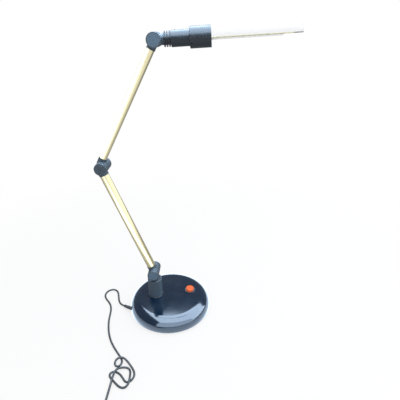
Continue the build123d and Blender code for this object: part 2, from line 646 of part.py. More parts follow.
def collar_half(side):
    """Half of the turning collar: the upper half for side -1 and the lower half for +1."""
    collar = rod(COLLAR_R, COLLAR_START, COLLAR_END)
    collar = round_end(collar, Axis.Z, False, COLLAR_EDGE)
    collar -= rod(COLLAR_BORE_R, COLLAR_START + COLLAR_FLANGE, COLLAR_END + OVERRUN)
    collar -= rod(JOURNAL_R + RUN_FIT, 0, COLLAR_END)
    groove = ring(COLLAR_R + OVERRUN, COLLAR_R - SEAM_DEPTH, 0, COLLAR_END + OVERRUN)
    collar -= groove & block(SEAM_W, 2 * (COLLAR_R + OVERRUN), 0, COLLAR_END + OVERRUN)
    other = Pos(-side * COLLAR_R, 0, 0) * block(2 * COLLAR_R, 3 * COLLAR_R, 0, COLLAR_END + OVERRUN)
    return collar - other


def collar_screw_at(hand):
    """Frame of a collar screw: +Z runs from the lower half into the upper half."""
    return Pos(0, hand * COLLAR_SCREW_SIDE, COLLAR_START + COLLAR_FLANGE / 2) * Rot(0, -90, 0)


def make_shade(place):
    """Two collar halves with their screws and the half-round reflector."""
    top, bottom = collar_half(-1), collar_half(1)
    head_at = -COLLAR_SCREW_REACH
    screws = []
    for hand in (-1, 1):
        at = collar_screw_at(hand)
        shaft = rod(COLLAR_SCREW_R, head_at, COLLAR_SCREW_REACH)
        head = rod(COLLAR_SCREW_HEAD_R, head_at - COLLAR_SCREW_HEAD_T, head_at)
        screws.append(place * at * (shaft + head))
        bore = rod(COLLAR_SCREW_R + SEAT_FIT, head_at, COLLAR_SCREW_REACH + SEAT_FIT)
        pocket = rod(COLLAR_SCREW_HEAD_R + SEAT_FIT, head_at - COLLAR_R, head_at)
        top -= at * bore
        bottom -= at * (bore + pocket)
    parts["collar_top"] = place * top
    parts["collar_bottom"] = place * bottom
    parts["collar_screws"] = Compound(children=screws)

    outer = round_end(rod(SHADE_R, COLLAR_END, SHADE_END), Axis.Z, True, SHADE_CORNER)
    inner = rod(SHADE_R - SHADE_T, COLLAR_END - OVERRUN, SHADE_END - SHADE_T)
    inner = round_end(inner, Axis.Z, True, SHADE_CORNER - SHADE_T)
    tongue_r = COLLAR_BORE_R - SEAT_FIT
    tongue = ring(tongue_r, tongue_r - TONGUE_T, COLLAR_END - TONGUE, COLLAR_END + TONGUE)
    collar_lip = ring(SHADE_R, tongue_r - TONGUE_T, COLLAR_END, COLLAR_END + SHADE_T)
    shell = outer - inner + collar_lip
    shell += tongue & rod(SHADE_R, COLLAR_END - TONGUE, COLLAR_END + SHADE_T)
    length = SHADE_END + OVERRUN
    below = Pos(SHADE_SKIRT + SHADE_R, 0, 0) * block(2 * SHADE_R, 3 * SHADE_R, COLLAR_END, length)
    under_tongue = Pos(SHADE_R, 0, 0) * block(2 * SHADE_R, 3 * SHADE_R, 0, COLLAR_END)
    parts["reflector"] = place * (shell - below - under_tongue)


# Cord
def route_radii():
    """Arc radius at each inner point of the route, as large as its two runs allow."""
    points = [Vector(*p) for p in ROUTE]
    radii = []
    for a, b, c in zip(points, points[1:], points[2:]):
        turn = radians((b - a).get_angle(c - b))
        radii.append(ROUTE_ARC_SHARE * min((b - a).length, (c - b).length) / tan(turn / 2))
    return radii


def coil_path():
    """Edges of the coil from the route's end: in on the table, up a layer, out on top and to the plug."""
    x, y = ROUTE[-1][0], ROUTE[-1][1] - COIL_LEAD
    z, radius, hand = CORD_Z, COIL_R, 1
    edges = [Line(ROUTE[-1], (x, y, z))]
    halves = COIL_HALF_TURNS_IN + 1 + COIL_HALF_TURNS_OUT
    for k in range(halves):
        climb = TURN_PITCH if k == COIL_HALF_TURNS_IN else 0
        end_x = x + hand * 2 * radius
        reach = sqrt(radius ** 2 + (climb / 2) ** 2)
        middle = ((x + end_x) / 2, y - hand * reach, z + climb / 2)
        edges.append(ThreePointArc((x, y, z), middle, (end_x, y, z + climb)))
        x, z, hand = end_x, z + climb, -hand
        radius += -TURN_PITCH / 2 if k < COIL_HALF_TURNS_IN else TURN_PITCH / 2
    turn = radians(COIL_EXIT_DEG)

    def on_exit(angle):
        return (x - COIL_EXIT_R * (1 - cos(angle)), y - COIL_EXIT_R * sin(angle), z)

    away = (-sin(turn), -cos(turn))
    leave = on_exit(turn)
    end = (leave[0] + COIL_LEAD * away[0], leave[1] + COIL_LEAD * away[1], z)
    edges += [ThreePointArc((x, y, z), on_exit(turn / 2), leave), Line(leave, end)]
    return edges, end, away


def swept(edges):
    """Round tube along a path, and the path."""
    path = Wire(edges)
    section = Plane(origin=path @ 0, z_dir=path % 0) * Circle(CORD_R)
    return sweep(section, path=path), path


def least_gap(edges, skip):
    """Least gap between the tube's surface and itself, on points about a cord's radius apart."""
    points, run = [], 0.0
    for edge in edges:
        count = max(2, int(edge.length / CORD_R))
        points += [(run + edge.length * k / count, edge @ (k / count)) for k in range(count)]
        run += edge.length
    least = run
    for i, (run_a, a) in enumerate(points):
        for run_b, b in points[i + 1:]:
            if run_b - run_a > skip:
                least = min(least, (a - b).length)
    return least - CORD_D


def make_cord():
    """Gland, free stretch, coil with its tie and the plug."""
    tip = gland_plane()
    inner = -GLAND_OUT - GLAND_IN
    gland = rod(GLAND_ROOT_R, inner, -GLAND_OUT)
    gland += rod(GLAND_FLANGE_R, inner - GLAND_FLANGE, inner)
    taper = Cone(GLAND_ROOT_R, GLAND_TIP_R, GLAND_OUT, align=UPRIGHT)
    parts["cord_gland"] = tip * (gland + Pos(0, 0, -GLAND_OUT) * taper)

    radii = route_radii()
    free = FilletPolyline(*ROUTE, radius=radii)
    tube, path = swept(free.edges())
    parts["cord_free"] = tube
    coil_edges, end, away = coil_path()
    coil, coil_wire = swept(coil_edges)
    parts["cord_coil"] = coil
    section = pi * CORD_R ** 2
    print("route radii", " ".join(f"{r:.1f}" for r in radii))
    print(f"cord length {path.length:.1f} + {coil_wire.length:.1f}")
    print(f"volume over section times length {tube.volume / (section * path.length):.4f}",
          f"{coil.volume / (section * coil_wire.length):.4f}")
    print(f"least gap of the free stretch {least_gap(path.edges(), pi * CORD_D):.2f}",
          f"and of the coil {least_gap(coil_edges, pi * CORD_D):.2f}")

    centre_x = ROUTE[-1][0] + COIL_R
    centre_y = ROUTE[-1][1] - COIL_LEAD
    inner_r = COIL_R - COIL_HALF_TURNS_IN * TURN_PITCH / 2
    near, far = inner_r - CORD_R - TIE_GAP, COIL_R + CORD_R + TIE_GAP
    low, high = CORD_Z - CORD_R - REST_GAP, CORD_Z + TURN_PITCH + CORD_R + REST_GAP
    middle = Pos(centre_x, centre_y - (near + far) / 2, 0)
    band = block(TIE_W, far - near + 2 * TIE_T, low - TIE_T, high + TIE_T)
    parts["coil_tie"] = middle * (band - block(TIE_W + OVERRUN, far - near, low, high))

    heading = Vector(away[0], away[1], 0)
    across = Vector(-away[1], away[0], 0)
    plug_at = Plane(origin=end, x_dir=across, z_dir=heading)
    plug_t = 2 * (end[2] - REST_GAP)
    relief = Cone(PLUG_RELIEF_TIP_R, PLUG_RELIEF_R, PLUG_RELIEF, align=UPRIGHT)
    neck = Pos(0, 0, PLUG_RELIEF) * RectangleRounded(PLUG_NECK_W, PLUG_NECK_T, PLUG_EDGE)
    face = Pos(0, 0, PLUG_RELIEF + PLUG_L) * RectangleRounded(PLUG_FACE_W, plug_t, PLUG_EDGE)
    parts["plug_body"] = plug_at * (relief + loft([neck, face]))
    start = PLUG_RELIEF + PLUG_L
    pin = round_end(rod(PIN_R, start, start + PIN_L), Axis.Z, True, PIN_R / 2)
    parts["plug_pins"] = Compound(children=[plug_at * Pos(s * PIN_SIDE, 0, 0) * pin for s in (-1, 1)])


pivot_at = Pos(POST_X, POST_Y, PIVOT_Z) * Rot(0, LOWER_DEG, 0)
elbow_point = (pivot_at * Pos(ARM_SHIFT, 0, LOWER_ARM_L)).position
elbow_at = Pos(elbow_point) * Rot(0, UPPER_DEG, 0)
head_point = (elbow_at * Pos(-ARM_SHIFT, 0, UPPER_ARM_L)).position
head_at = Pos(head_point) * Rot(0, HEAD_DEG, 0)
print("pivots", Pos(POST_X, POST_Y, PIVOT_Z).position, elbow_point, head_point)

make_base()
make_swivel()
make_switch()
make_electrics()
make_post(Pos(POST_X, POST_Y, PIVOT_Z))
make_arms(pivot_at, elbow_at)
make_pivot("foot_joint", pivot_at)
make_pivot("elbow_joint", elbow_at)
make_pivot("head_joint", head_at)
make_head(head_at)
make_shade(head_at)
make_cord()

os.makedirs("parts", exist_ok=True)
for name, shape in parts.items():
    export_step(shape, f"parts/{name}.step")
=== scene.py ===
"""Looks of an articulated desk lamp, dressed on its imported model. Lengths are in metres."""
import json
import logging
import math
from dataclasses import dataclass, field, replace
from enum import Enum
from typing import Any, ClassVar, Mapping, Optional, Sequence, Union

import bmesh
import bpy
from mathutils import Matrix, Vector


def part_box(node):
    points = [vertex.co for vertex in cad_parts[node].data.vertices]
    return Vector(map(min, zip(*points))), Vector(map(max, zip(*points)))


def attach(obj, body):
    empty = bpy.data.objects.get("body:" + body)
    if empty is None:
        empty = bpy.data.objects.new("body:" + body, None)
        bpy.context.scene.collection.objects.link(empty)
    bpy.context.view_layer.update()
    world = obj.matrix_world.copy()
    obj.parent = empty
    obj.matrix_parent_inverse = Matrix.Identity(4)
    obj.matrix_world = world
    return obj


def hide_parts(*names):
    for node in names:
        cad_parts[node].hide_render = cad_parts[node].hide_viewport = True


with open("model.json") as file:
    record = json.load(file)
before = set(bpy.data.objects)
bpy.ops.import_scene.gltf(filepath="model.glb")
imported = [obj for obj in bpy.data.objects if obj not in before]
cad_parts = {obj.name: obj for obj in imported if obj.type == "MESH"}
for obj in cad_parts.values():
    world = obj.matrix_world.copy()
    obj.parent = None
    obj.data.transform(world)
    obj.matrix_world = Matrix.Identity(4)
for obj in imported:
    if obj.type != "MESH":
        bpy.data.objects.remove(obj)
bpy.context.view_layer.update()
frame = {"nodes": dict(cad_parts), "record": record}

LOG = logging.getLogger("desk_lamp")
Colour = tuple[float, float, float]
Point = tuple[float, float, float]
NODES: dict[str, bpy.types.Object] = frame["nodes"]
BODY_NODES: dict[str, list[str]] = frame["record"]["behaviour"]["bodies"]


class Light(Enum):
    """What a light panel does: light surfaces softly, or show as a mirror image."""

    SOFT = "soft"
    MIRRORED = "mirrored"


class Lay(Enum):
    """Tilt about Y, in degrees, that a finish's fine lines follow."""

    LEVEL = 0.0
    LOWER_ARM = -20.0
    UPPER_ARM = 28.5
    HEAD = 87.0


@dataclass
class Bench:
    """A node tree with short ways to add and join nodes."""

    KINDS: ClassVar[Mapping[str, str]] = {
        "Vector": "Vector", "Main": "Color", "Other": "Color", "Colour": "Color", "Geometry": "Geometry",
        "Material": "Material", "Crossed": "Bool", "Seed": "Int",
    }
    tree: bpy.types.NodeTree

    @classmethod
    def group(cls, name: str, kind: str, inputs: Sequence[str], outputs: Sequence[str]) -> tuple["Bench", Any]:
        """Start a node group.

        Args:
            name: The group's name.
            kind: Shader or Geometry.
            inputs: Names of its inputs, which are numbers unless KINDS says otherwise.
            outputs: Names of its outputs.

        Returns:
            The bench and the outputs of the group's input node.
        """
        tree = bpy.data.node_groups.new(name, kind + "NodeTree")
        for way, keys in (("INPUT", inputs), ("OUTPUT", outputs)):
            for key in keys:
                socket = "NodeSocket" + cls.KINDS.get(key, "Float")
                tree.interface.new_socket(name=key, in_out=way, socket_type=socket)
        bench = cls(tree)
        return bench, bench.add("NodeGroupInput").outputs

    def close(self, **results: bpy.types.NodeSocket) -> bpy.types.NodeTree:
        """End a node group with a socket for each named output, and give its tree."""
        self.add("NodeGroupOutput", results)
        return self.tree

    def feed(self, node: bpy.types.Node, feeds: Mapping[Any, Any]) -> None:
        """Set inputs of a node.

        Args:
            node: The node.
            feeds: A value or an output socket for each named or numbered input.
        """
        for key, value in feeds.items():
            if isinstance(value, bpy.types.NodeSocket):
                self.tree.links.new(value, node.inputs[key])
            else:
                node.inputs[key].default_value = value

    def add(self, kind: str, feeds: Optional[Mapping[Any, Any]] = None, **settings: Any) -> bpy.types.Node:
        """Add a node.

        Args:
            kind: Blender's name of the node type.
            feeds: What its inputs get, as in feed.
            settings: Properties of the node itself.

        Returns:
            The new node.
        """
        node = self.tree.nodes.new(kind)
        for key, value in settings.items():
            setattr(node, key, value)
        self.feed(node, feeds or {})
        return node

    def math(self, operation: str, *values: Any) -> bpy.types.NodeSocket:
        """Add a Math node that reads numbers or sockets, and give its output."""
        return self.add("ShaderNodeMath", dict(enumerate(values)), operation=operation).outputs[0]

    def step(self, value: bpy.types.NodeSocket, low: float, high: float, start: float = 0.0,
             end: float = 1.0) -> bpy.types.NodeSocket:
        """Map a value smoothly, so that low gives start and high gives end."""
        feeds = {"Value": value, "From Min": low, "From Max": high, "To Min": start, "To Max": end}
        return self.add("ShaderNodeMapRange", feeds, interpolation_type="SMOOTHSTEP").outputs["Result"]

    def noise(self, place: bpy.types.NodeSocket, scale: Any, **more: float) -> bpy.types.NodeSocket:
        """Add a noise texture, with values for more of its inputs, and give its grey value."""
        return self.add("ShaderNodeTexNoise", {"Vector": place, "Scale": scale, **more}).outputs[0]

    def effect(self, tree: bpy.types.NodeTree, **feeds: Any) -> Any:
        """Place a shader group, with a value or a socket for each named input, and give its outputs."""
        return self.add("ShaderNodeGroup", feeds, node_tree=tree).outputs

    def mix(self, share: Any, first: Any, second: Any) -> bpy.types.NodeSocket:
        """Add a colour mix.

        Args:
            share: Share of the second colour.
            first: Colour or output socket.
            second: Colour or output socket.

        Returns:
            The mixed colour.
        """
        node = self.add("ShaderNodeMix", {"Factor": share}, data_type="RGBA")
        sockets = [s for s in node.inputs if s.type == "RGBA"]
        for socket, value in zip(sockets, (first, second)):
            if isinstance(value, bpy.types.NodeSocket):
                self.tree.links.new(value, socket)
            else:
                socket.default_value = (*value, 1.0)
        return next(s for s in node.outputs if s.type == "RGBA")


class Effects:
    """Surface effects that the finishes share, each one a shader node group that is built once.

    SPECKS, FILMS and BREAKS are how many there are in a metre, and an EDGE is where a soft step starts and ends.
    """

    CLOUD_EDGE = (0.34, 0.66)
    CELL_SCALE, CELL_SHARE = 0.6, 0.35
    HAIR_WIDTH = 0.014
    PATCH_SCALE, PATCH_EDGE = 0.7, (0.52, 0.68)
    LOOKS_UP = (0.35, 1.0)
    SPECKS, SPECK_EDGE, SPECK_PICK = 260.0, (0.06, 0.13), (0.70, 0.76)
    FILMS, FILM_EDGE, FILM_SHARE = 34.0, (0.40, 0.80), 0.22
    TURN_EDGE = (0.80, 0.97)
    BREAKS, BREAK_EDGE = 420.0, (0.36, 0.58)

    def __init__(self) -> None:
        """Build every group."""
        self.drift = self._tone_drift()
        self.grain = self._fine_grain()
        self.hairs = self._hair_lines()
        self.dust = self._settled_dust()
        self.wear = self._worn_edge()

    def _tone_drift(self) -> bpy.types.NodeTree:
        """Slow change between two tones.

        Returns:
            The group's tree.
        """
        inputs = ("Vector", "Size", "Main", "Other", "Share")
        bench, given = Bench.group("tone_drift", "Shader", inputs, ("Colour", "Mask"))
        scale = bench.math("DIVIDE", 1.0, given["Size"])
        mask = bench.step(bench.noise(given["Vector"], scale, Detail=4.0, Roughness=0.6), *self.CLOUD_EDGE)
        share = bench.math("MULTIPLY", mask, given["Share"])
        return bench.close(Colour=bench.mix(share, given["Main"], given["Other"]), Mask=mask)

    def _fine_grain(self) -> bpy.types.NodeTree:
        """Small even roughness of a coat or a moulding.

        Returns:
            The group's tree.
        """
        bench, given = Bench.group("fine_grain", "Shader", ("Vector", "Size"), ("Height",))
        scale = bench.math("DIVIDE", 1.0, given["Size"])
        cloud = bench.math("MULTIPLY", bench.noise(given["Vector"], scale, Detail=2.0), 1.0 - self.CELL_SHARE)
        feeds = {"Vector": given["Vector"], "Scale": bench.math("MULTIPLY", scale, self.CELL_SCALE)}
        cells = bench.add("ShaderNodeTexVoronoi", feeds, feature="SMOOTH_F1").outputs["Distance"]
        return bench.close(Height=bench.math("MULTIPLY_ADD", cells, self.CELL_SHARE, cloud))

    def _hair_lines(self) -> bpy.types.NodeTree:
        """Thin stray scratches that come in loose patches.

        Returns:
            The group's tree.
        """
        bench, given = Bench.group("hair_lines", "Shader", ("Vector", "Size", "Share"), ("Mask",))
        scale = bench.math("DIVIDE", 1.0, given["Size"])
        line = bench.noise(given["Vector"], scale, Detail=1.0, Distortion=0.7)
        off = bench.math("ABSOLUTE", bench.math("SUBTRACT", line, 0.5))
        thin = bench.step(off, 0.0, self.HAIR_WIDTH, 1.0, 0.0)
        loose = bench.noise(given["Vector"], bench.math("MULTIPLY", scale, self.PATCH_SCALE), Detail=2.0)
        patch = bench.math("MULTIPLY", thin, bench.step(loose, *self.PATCH_EDGE))
        return bench.close(Mask=bench.math("MULTIPLY", patch, given["Share"]))

    def _settled_dust(self) -> bpy.types.NodeTree:
        """Thin film and specks of dust on faces that look up.

        Returns:
            The group's tree.
        """
        bench, given = Bench.group("settled_dust", "Shader", ("Vector", "Share"), ("Mask",))
        normal = bench.add("ShaderNodeTexCoord").outputs["Normal"]
        up = bench.step(bench.add("ShaderNodeSeparateXYZ", {0: normal}).outputs["Z"], *self.LOOKS_UP)
        feeds = {"Vector": given["Vector"], "Scale": self.SPECKS}
        cells = bench.add("ShaderNodeTexVoronoi", feeds, feature="F1").outputs
        pick = bench.add("ShaderNodeSeparateColor", {0: cells["Color"]}).outputs[0]
        speck = bench.math("MULTIPLY", bench.step(cells["Distance"], *self.SPECK_EDGE, 1.0, 0.0),
                           bench.step(pick, *self.SPECK_PICK))
        cloud = bench.noise(given["Vector"], self.FILMS, Detail=4.0)
        film = bench.step(cloud, *self.FILM_EDGE, 0.0, self.FILM_SHARE)
        share = bench.math("MULTIPLY", up, given["Share"])
        return bench.close(Mask=bench.math("MULTIPLY", share, bench.math("MAXIMUM", speck, film)))

    def _worn_edge(self) -> bpy.types.NodeTree:
        """Broken light line where hands rub an edge.

        Returns:
            The group's tree.
        """
        bench, given = Bench.group("worn_edge", "Shader", ("Vector", "Radius", "Share"), ("Mask",))
        soft = bench.add("ShaderNodeBevel", {"Radius": given["Radius"]}, samples=4).outputs[0]
        true = bench.add("ShaderNodeNewGeometry").outputs["Normal"]
        turn = bench.add("ShaderNodeVectorMath", {0: soft, 1: true}, operation="DOT_PRODUCT").outputs["Value"]
        edge = bench.step(turn, *self.TURN_EDGE, 1.0, 0.0)
        broken = bench.step(bench.noise(given["Vector"], self.BREAKS, Detail=3.0), *self.BREAK_EDGE)
        return bench.close(Mask=bench.math("MULTIPLY", bench.math("MULTIPLY", edge, broken), given["Share"]))


@dataclass(frozen=True)
class Finish:
    """One surface finish; colours are linear."""

    HAIR_ROUGHENS: ClassVar[float] = 0.25
    WEAR_REACH: ClassVar[float] = 0.0012
    DUST_COLOUR: ClassVar[Colour] = (0.52, 0.51, 0.48)
    DUST_ROUGHENS: ClassVar[float] = 0.5
    name: str
    main: Colour
    other: Colour
    roughness: float = 0.5
    rough_drift: float = 0.08
    metallic: float = 0.0
    specular: float = 0.5
    sheen: float = 0.0
    drift_size: float = 0.02
    drift_share: float = 0.5
    grain_size: float = 0.0009
    grain_depth: float = 0.00002
    draw_out: Point = (1.0, 1.0, 1.0)
    lay: Lay = Lay.LEVEL
    hair_size: float = 0.02
    hairs: float = 0.0
    hair_colour: Colour = (0.3, 0.3, 0.3)
    dust: float = 0.0
    wear: float = 0.0
    wear_colour: Colour = (0.30, 0.33, 0.36)

    def material(self, effects: Effects) -> bpy.types.Material:
        """Build the material of this finish.

        Args:
            effects: The shared shader groups.

        Returns:
            The material, named for the finish and the lay of its lines.
        """
        material = bpy.data.materials.new(f"{self.name}_{self.lay.name.lower()}")
        material.use_nodes = True
        bench = Bench(material.node_tree)
        surface = material.node_tree.nodes["Principled BSDF"]
        place = bench.add("ShaderNodeTexCoord").outputs["Object"]
        upright = place
        if self.lay is not Lay.LEVEL:
            tilt = (0.0, -math.radians(self.lay.value), 0.0)
            upright = bench.add("ShaderNodeMapping", {"Vector": place, "Rotation": tilt}).outputs[0]
        drawn = bench.add("ShaderNodeMapping", {"Vector": upright, "Scale": self.draw_out}).outputs[0]
        tone = bench.effect(effects.drift, Vector=drawn, Size=self.drift_size, Main=(*self.main, 1.0),
                            Other=(*self.other, 1.0), Share=self.drift_share)
        colour, rough = tone["Colour"], bench.math("MULTIPLY_ADD", tone["Mask"], self.rough_drift, self.roughness)
        height = bench.effect(effects.grain, Vector=drawn, Size=self.grain_size)["Height"]
        if self.hairs:
            hair = bench.effect(effects.hairs, Vector=place, Size=self.hair_size, Share=self.hairs)["Mask"]
            colour = bench.mix(hair, colour, self.hair_colour)
            rough = bench.math("MULTIPLY_ADD", hair, self.HAIR_ROUGHENS, rough)
        if self.wear:
            rubbed = bench.effect(effects.wear, Vector=place, Radius=self.WEAR_REACH, Share=self.wear)["Mask"]
            colour = bench.mix(rubbed, colour, self.wear_colour)
        if self.dust:
            dust = bench.effect(effects.dust, Vector=place, Share=self.dust)["Mask"]
            colour = bench.mix(dust, colour, self.DUST_COLOUR)
            rough = bench.math("MULTIPLY_ADD", dust, self.DUST_ROUGHENS, rough)
        bump = bench.add("ShaderNodeBump", {"Strength": 1.0, "Distance": self.grain_depth, "Height": height})
        bench.feed(surface, {"Base Color": colour, "Roughness": rough, "Normal": bump.outputs[0],
                             "Metallic": self.metallic, "Specular IOR Level": self.specular,
                             "Sheen Weight": self.sheen})
        return material


class FinishShelf:
    """Every finish of the lamp, ready to be put on a piece."""

    FINISHES: tuple[Finish, ...] = (
        Finish("gloss_black", (0.001, 0.014, 0.038), (0.003, 0.018, 0.045), roughness=0.10, rough_drift=0.03,
               specular=0.45, drift_size=0.05, grain_size=0.004, grain_depth=0.000003, hairs=0.08, hair_size=0.03,
               hair_colour=(0.06, 0.07, 0.08), dust=0.08),
        Finish("tray_steel", (0.020, 0.021, 0.023), (0.030, 0.031, 0.033), grain_size=0.0012,
               grain_depth=0.00005, wear=0.5),
        Finish("felt", (0.012, 0.012, 0.014), (0.022, 0.022, 0.025), roughness=0.95, rough_drift=0.0,
               drift_size=0.004, grain_size=0.0007, grain_depth=0.0004, sheen=0.4, specular=0.2),
        Finish("weight_iron", (0.12, 0.11, 0.11), (0.17, 0.16, 0.15), roughness=0.6, metallic=0.8,
               grain_depth=0.00006, drift_size=0.012),
        Finish("steel", (0.56, 0.56, 0.57), (0.46, 0.46, 0.47), roughness=0.30, metallic=1.0, grain_size=0.0004,
               draw_out=(1.0, 1.0, 8.0), hairs=0.3, hair_size=0.006),
        Finish("ring_metal", (0.32, 0.32, 0.31), (0.26, 0.26, 0.25), roughness=0.40, metallic=1.0,
               grain_size=0.0005, draw_out=(1.0, 1.0, 6.0), drift_size=0.01),
        Finish("button_red", (0.88, 0.140, 0.016), (0.80, 0.122, 0.014), roughness=0.40, specular=0.15,
               grain_size=0.0006, grain_depth=0.000012, drift_size=0.006, hairs=0.08, hair_size=0.006,
               hair_colour=(0.88, 0.36, 0.22)),
        Finish("bezel_grey", (0.020, 0.024, 0.030), (0.028, 0.032, 0.038), roughness=0.36, grain_size=0.0007,
               grain_depth=0.00001, drift_size=0.008, wear=0.4, dust=0.05),
        Finish("inner_plastic", (0.07, 0.07, 0.07), (0.09, 0.09, 0.09)),
        Finish("cream_plastic", (0.76, 0.72, 0.60), (0.70, 0.65, 0.52), roughness=0.45, drift_size=0.01),
        Finish("choke_iron", (0.14, 0.14, 0.16), (0.19, 0.19, 0.20), roughness=0.42, metallic=0.5,
               grain_size=0.0006, grain_depth=0.0001, draw_out=(0.05, 0.05, 1.0)),
        Finish("copper", (0.55, 0.26, 0.13), (0.42, 0.18, 0.09), roughness=0.3, metallic=1.0, grain_size=0.0006,
               grain_depth=0.00012, draw_out=(1.0, 0.05, 1.0)),
        Finish("joint_black", (0.044, 0.068, 0.090), (0.052, 0.079, 0.101), roughness=0.46, rough_drift=0.06,
               specular=0.4, grain_size=0.0008, grain_depth=0.00001, drift_size=0.012, hairs=0.06, hair_size=0.012,
               hair_colour=(0.12, 0.14, 0.16), dust=0.06, wear=0.3),
        Finish("washer_fibre", (0.24, 0.19, 0.13), (0.18, 0.14, 0.10), roughness=0.8, grain_depth=0.00008),
        Finish("head_black", (0.011, 0.018, 0.026), (0.015, 0.023, 0.032), roughness=0.33, rough_drift=0.05,
               specular=0.35, grain_depth=0.000006, drift_size=0.016, hairs=0.05,
               hair_size=0.014, hair_colour=(0.10, 0.12, 0.14), dust=0.04, wear=0.25),
        Finish("arm_gold", (0.80, 0.745, 0.49), (0.76, 0.70, 0.45), roughness=0.17, rough_drift=0.04, metallic=1.0,
               drift_size=0.03, grain_size=0.0007, grain_depth=0.000002, draw_out=(1.0, 1.0, 0.03), hairs=0.04,
               hair_size=0.016, hair_colour=(0.60, 0.55, 0.42)),
        # Olive of the trim bead on the reflector's lower edges: its colour is partly painted shade of the reflector's
        # inside.
        Finish("rim_olive_painted_shade", (0.50, 0.44, 0.20), (0.44, 0.38, 0.16), roughness=0.40, grain_size=0.0006,
               grain_depth=0.00001),
        # Dark brown of the bead's end round the reflector's end: painted shadow.
        Finish("rim_brown_painted_shadow", (0.10, 0.065, 0.035), (0.07, 0.045, 0.025), roughness=0.45, drift_size=0.006,
               grain_size=0.0006, grain_depth=0.00001),
        Finish("wire_grey", (0.11, 0.11, 0.11), (0.14, 0.14, 0.14)),
        Finish("lamp_white", (0.83, 0.83, 0.80), (0.78, 0.77, 0.73), roughness=0.4, drift_size=0.01),
        Finish("lamp_glass", (0.90, 0.90, 0.87), (0.86, 0.86, 0.83), roughness=0.16, specular=0.1,
               drift_share=0.6, grain_size=0.002, grain_depth=0.000004),
        Finish("reflector_white", (0.92, 0.92, 0.91), (0.90, 0.90, 0.88), roughness=0.36, rough_drift=0.05,
               specular=0.04, drift_size=0.04, grain_size=0.003, grain_depth=0.000008, hairs=0.08,
               hair_size=0.03, hair_colour=(0.72, 0.71, 0.67), dust=0.05),
        Finish("cord_grey", (0.046, 0.052, 0.057), (0.055, 0.057, 0.060), rough_drift=0.12, specular=0.2,
               grain_size=0.0006, grain_depth=0.00003, dust=0.20),
        Finish("plug_grey", (0.040, 0.042, 0.046), (0.052, 0.054, 0.058), roughness=0.48, grain_size=0.0007,
               grain_depth=0.00004, drift_size=0.01, dust=0.12, wear=0.3),
        Finish("pin_metal", (0.72, 0.70, 0.66), (0.64, 0.62, 0.57), roughness=0.16, metallic=1.0, drift_size=0.006,
               grain_size=0.0004, grain_depth=0.000006, hairs=0.3, hair_size=0.005),
        Finish("tie_black", (0.018, 0.018, 0.020), (0.030, 0.030, 0.032), roughness=0.7, grain_size=0.0006,
               grain_depth=0.0001, drift_size=0.004),
    )

    def __init__(self) -> None:
        """Build the shared effects."""
        self.effects = Effects()
        self.by_name = {finish.name: finish for finish in self.FINISHES}
        self.made: dict[Finish, bpy.types.Material] = {}

    def material(self, name: str, lay: Lay = Lay.LEVEL) -> bpy.types.Material:
        """Give the material of a finish.

        Args:
            name: The finish, which has the name of its slot in the record, or is one of the rim's two, the olive one
                partly and the brown one wholly painted shade.
            lay: Way that its fine lines run.

        Returns:
            The material, built once.
        """
        finish = replace(self.by_name[name], lay=lay)
        if finish not in self.made:
            self.made[finish] = finish.material(self.effects)
        return self.made[finish]

    def dress_frame(self) -> None:
        """Put its own finish on every CAD node."""
        lays = {"lower_tube": Lay.LOWER_ARM, "upper_tube": Lay.UPPER_ARM, "reflector": Lay.HEAD}
        for name, node in NODES.items():
            slot = node.material_slots[0].material.name
            node.material_slots[0].material = self.material(slot, lays.get(name, Lay.LEVEL))
            LOG.info("%s wears %s", name, slot)


def new_piece(name: str, data: bpy.types.ID) -> bpy.types.Object:
    """Link a new object at the origin.

    Args:
        name: Its name.
        data: Its mesh, curve, lamp or camera.

    Returns:
        The object.
    """
    piece = bpy.data.objects.new(name, data)
    bpy.context.scene.collection.objects.link(piece)
    return piece


def body_of_node(node: str) -> str:
    """Name the body that carries a CAD node."""
    return next(body for body, members in BODY_NODES.items() if node in members)


@dataclass
class PointSet:
    """Places for repeated pieces, each with a way to face and a size."""

    places: list[Point] = field(default_factory=list)
    facing: list[Point] = field(default_factory=list)
    girth: list[float] = field(default_factory=list)

    def add(self, place: Sequence[float], facing: Sequence[float], girth: float = 1.0) -> None:
        """Add one place.

        Args:
            place: Where it is.
            facing: Way that its piece faces.
            girth: Size of its piece.
        """
        self.places.append(tuple(place))
        self.facing.append(tuple(facing))
        self.girth.append(girth)

    def mesh(self, name: str) -> bpy.types.Mesh:
        """Make a mesh of loose points.

        Args:
            name: Name of the mesh.

        Returns:
            The mesh, with the attributes facing and girth.
        """
        mesh = bpy.data.meshes.new(name)
        mesh.from_pydata(self.places, [], [])
        facing = mesh.attributes.new("facing", "FLOAT_VECTOR", "POINT")
        facing.data.foreach_set("vector", [x for way in self.facing for x in way])
        girth = mesh.attributes.new("girth", "FLOAT", "POINT")
        girth.data.foreach_set("value", self.girth)
        return mesh


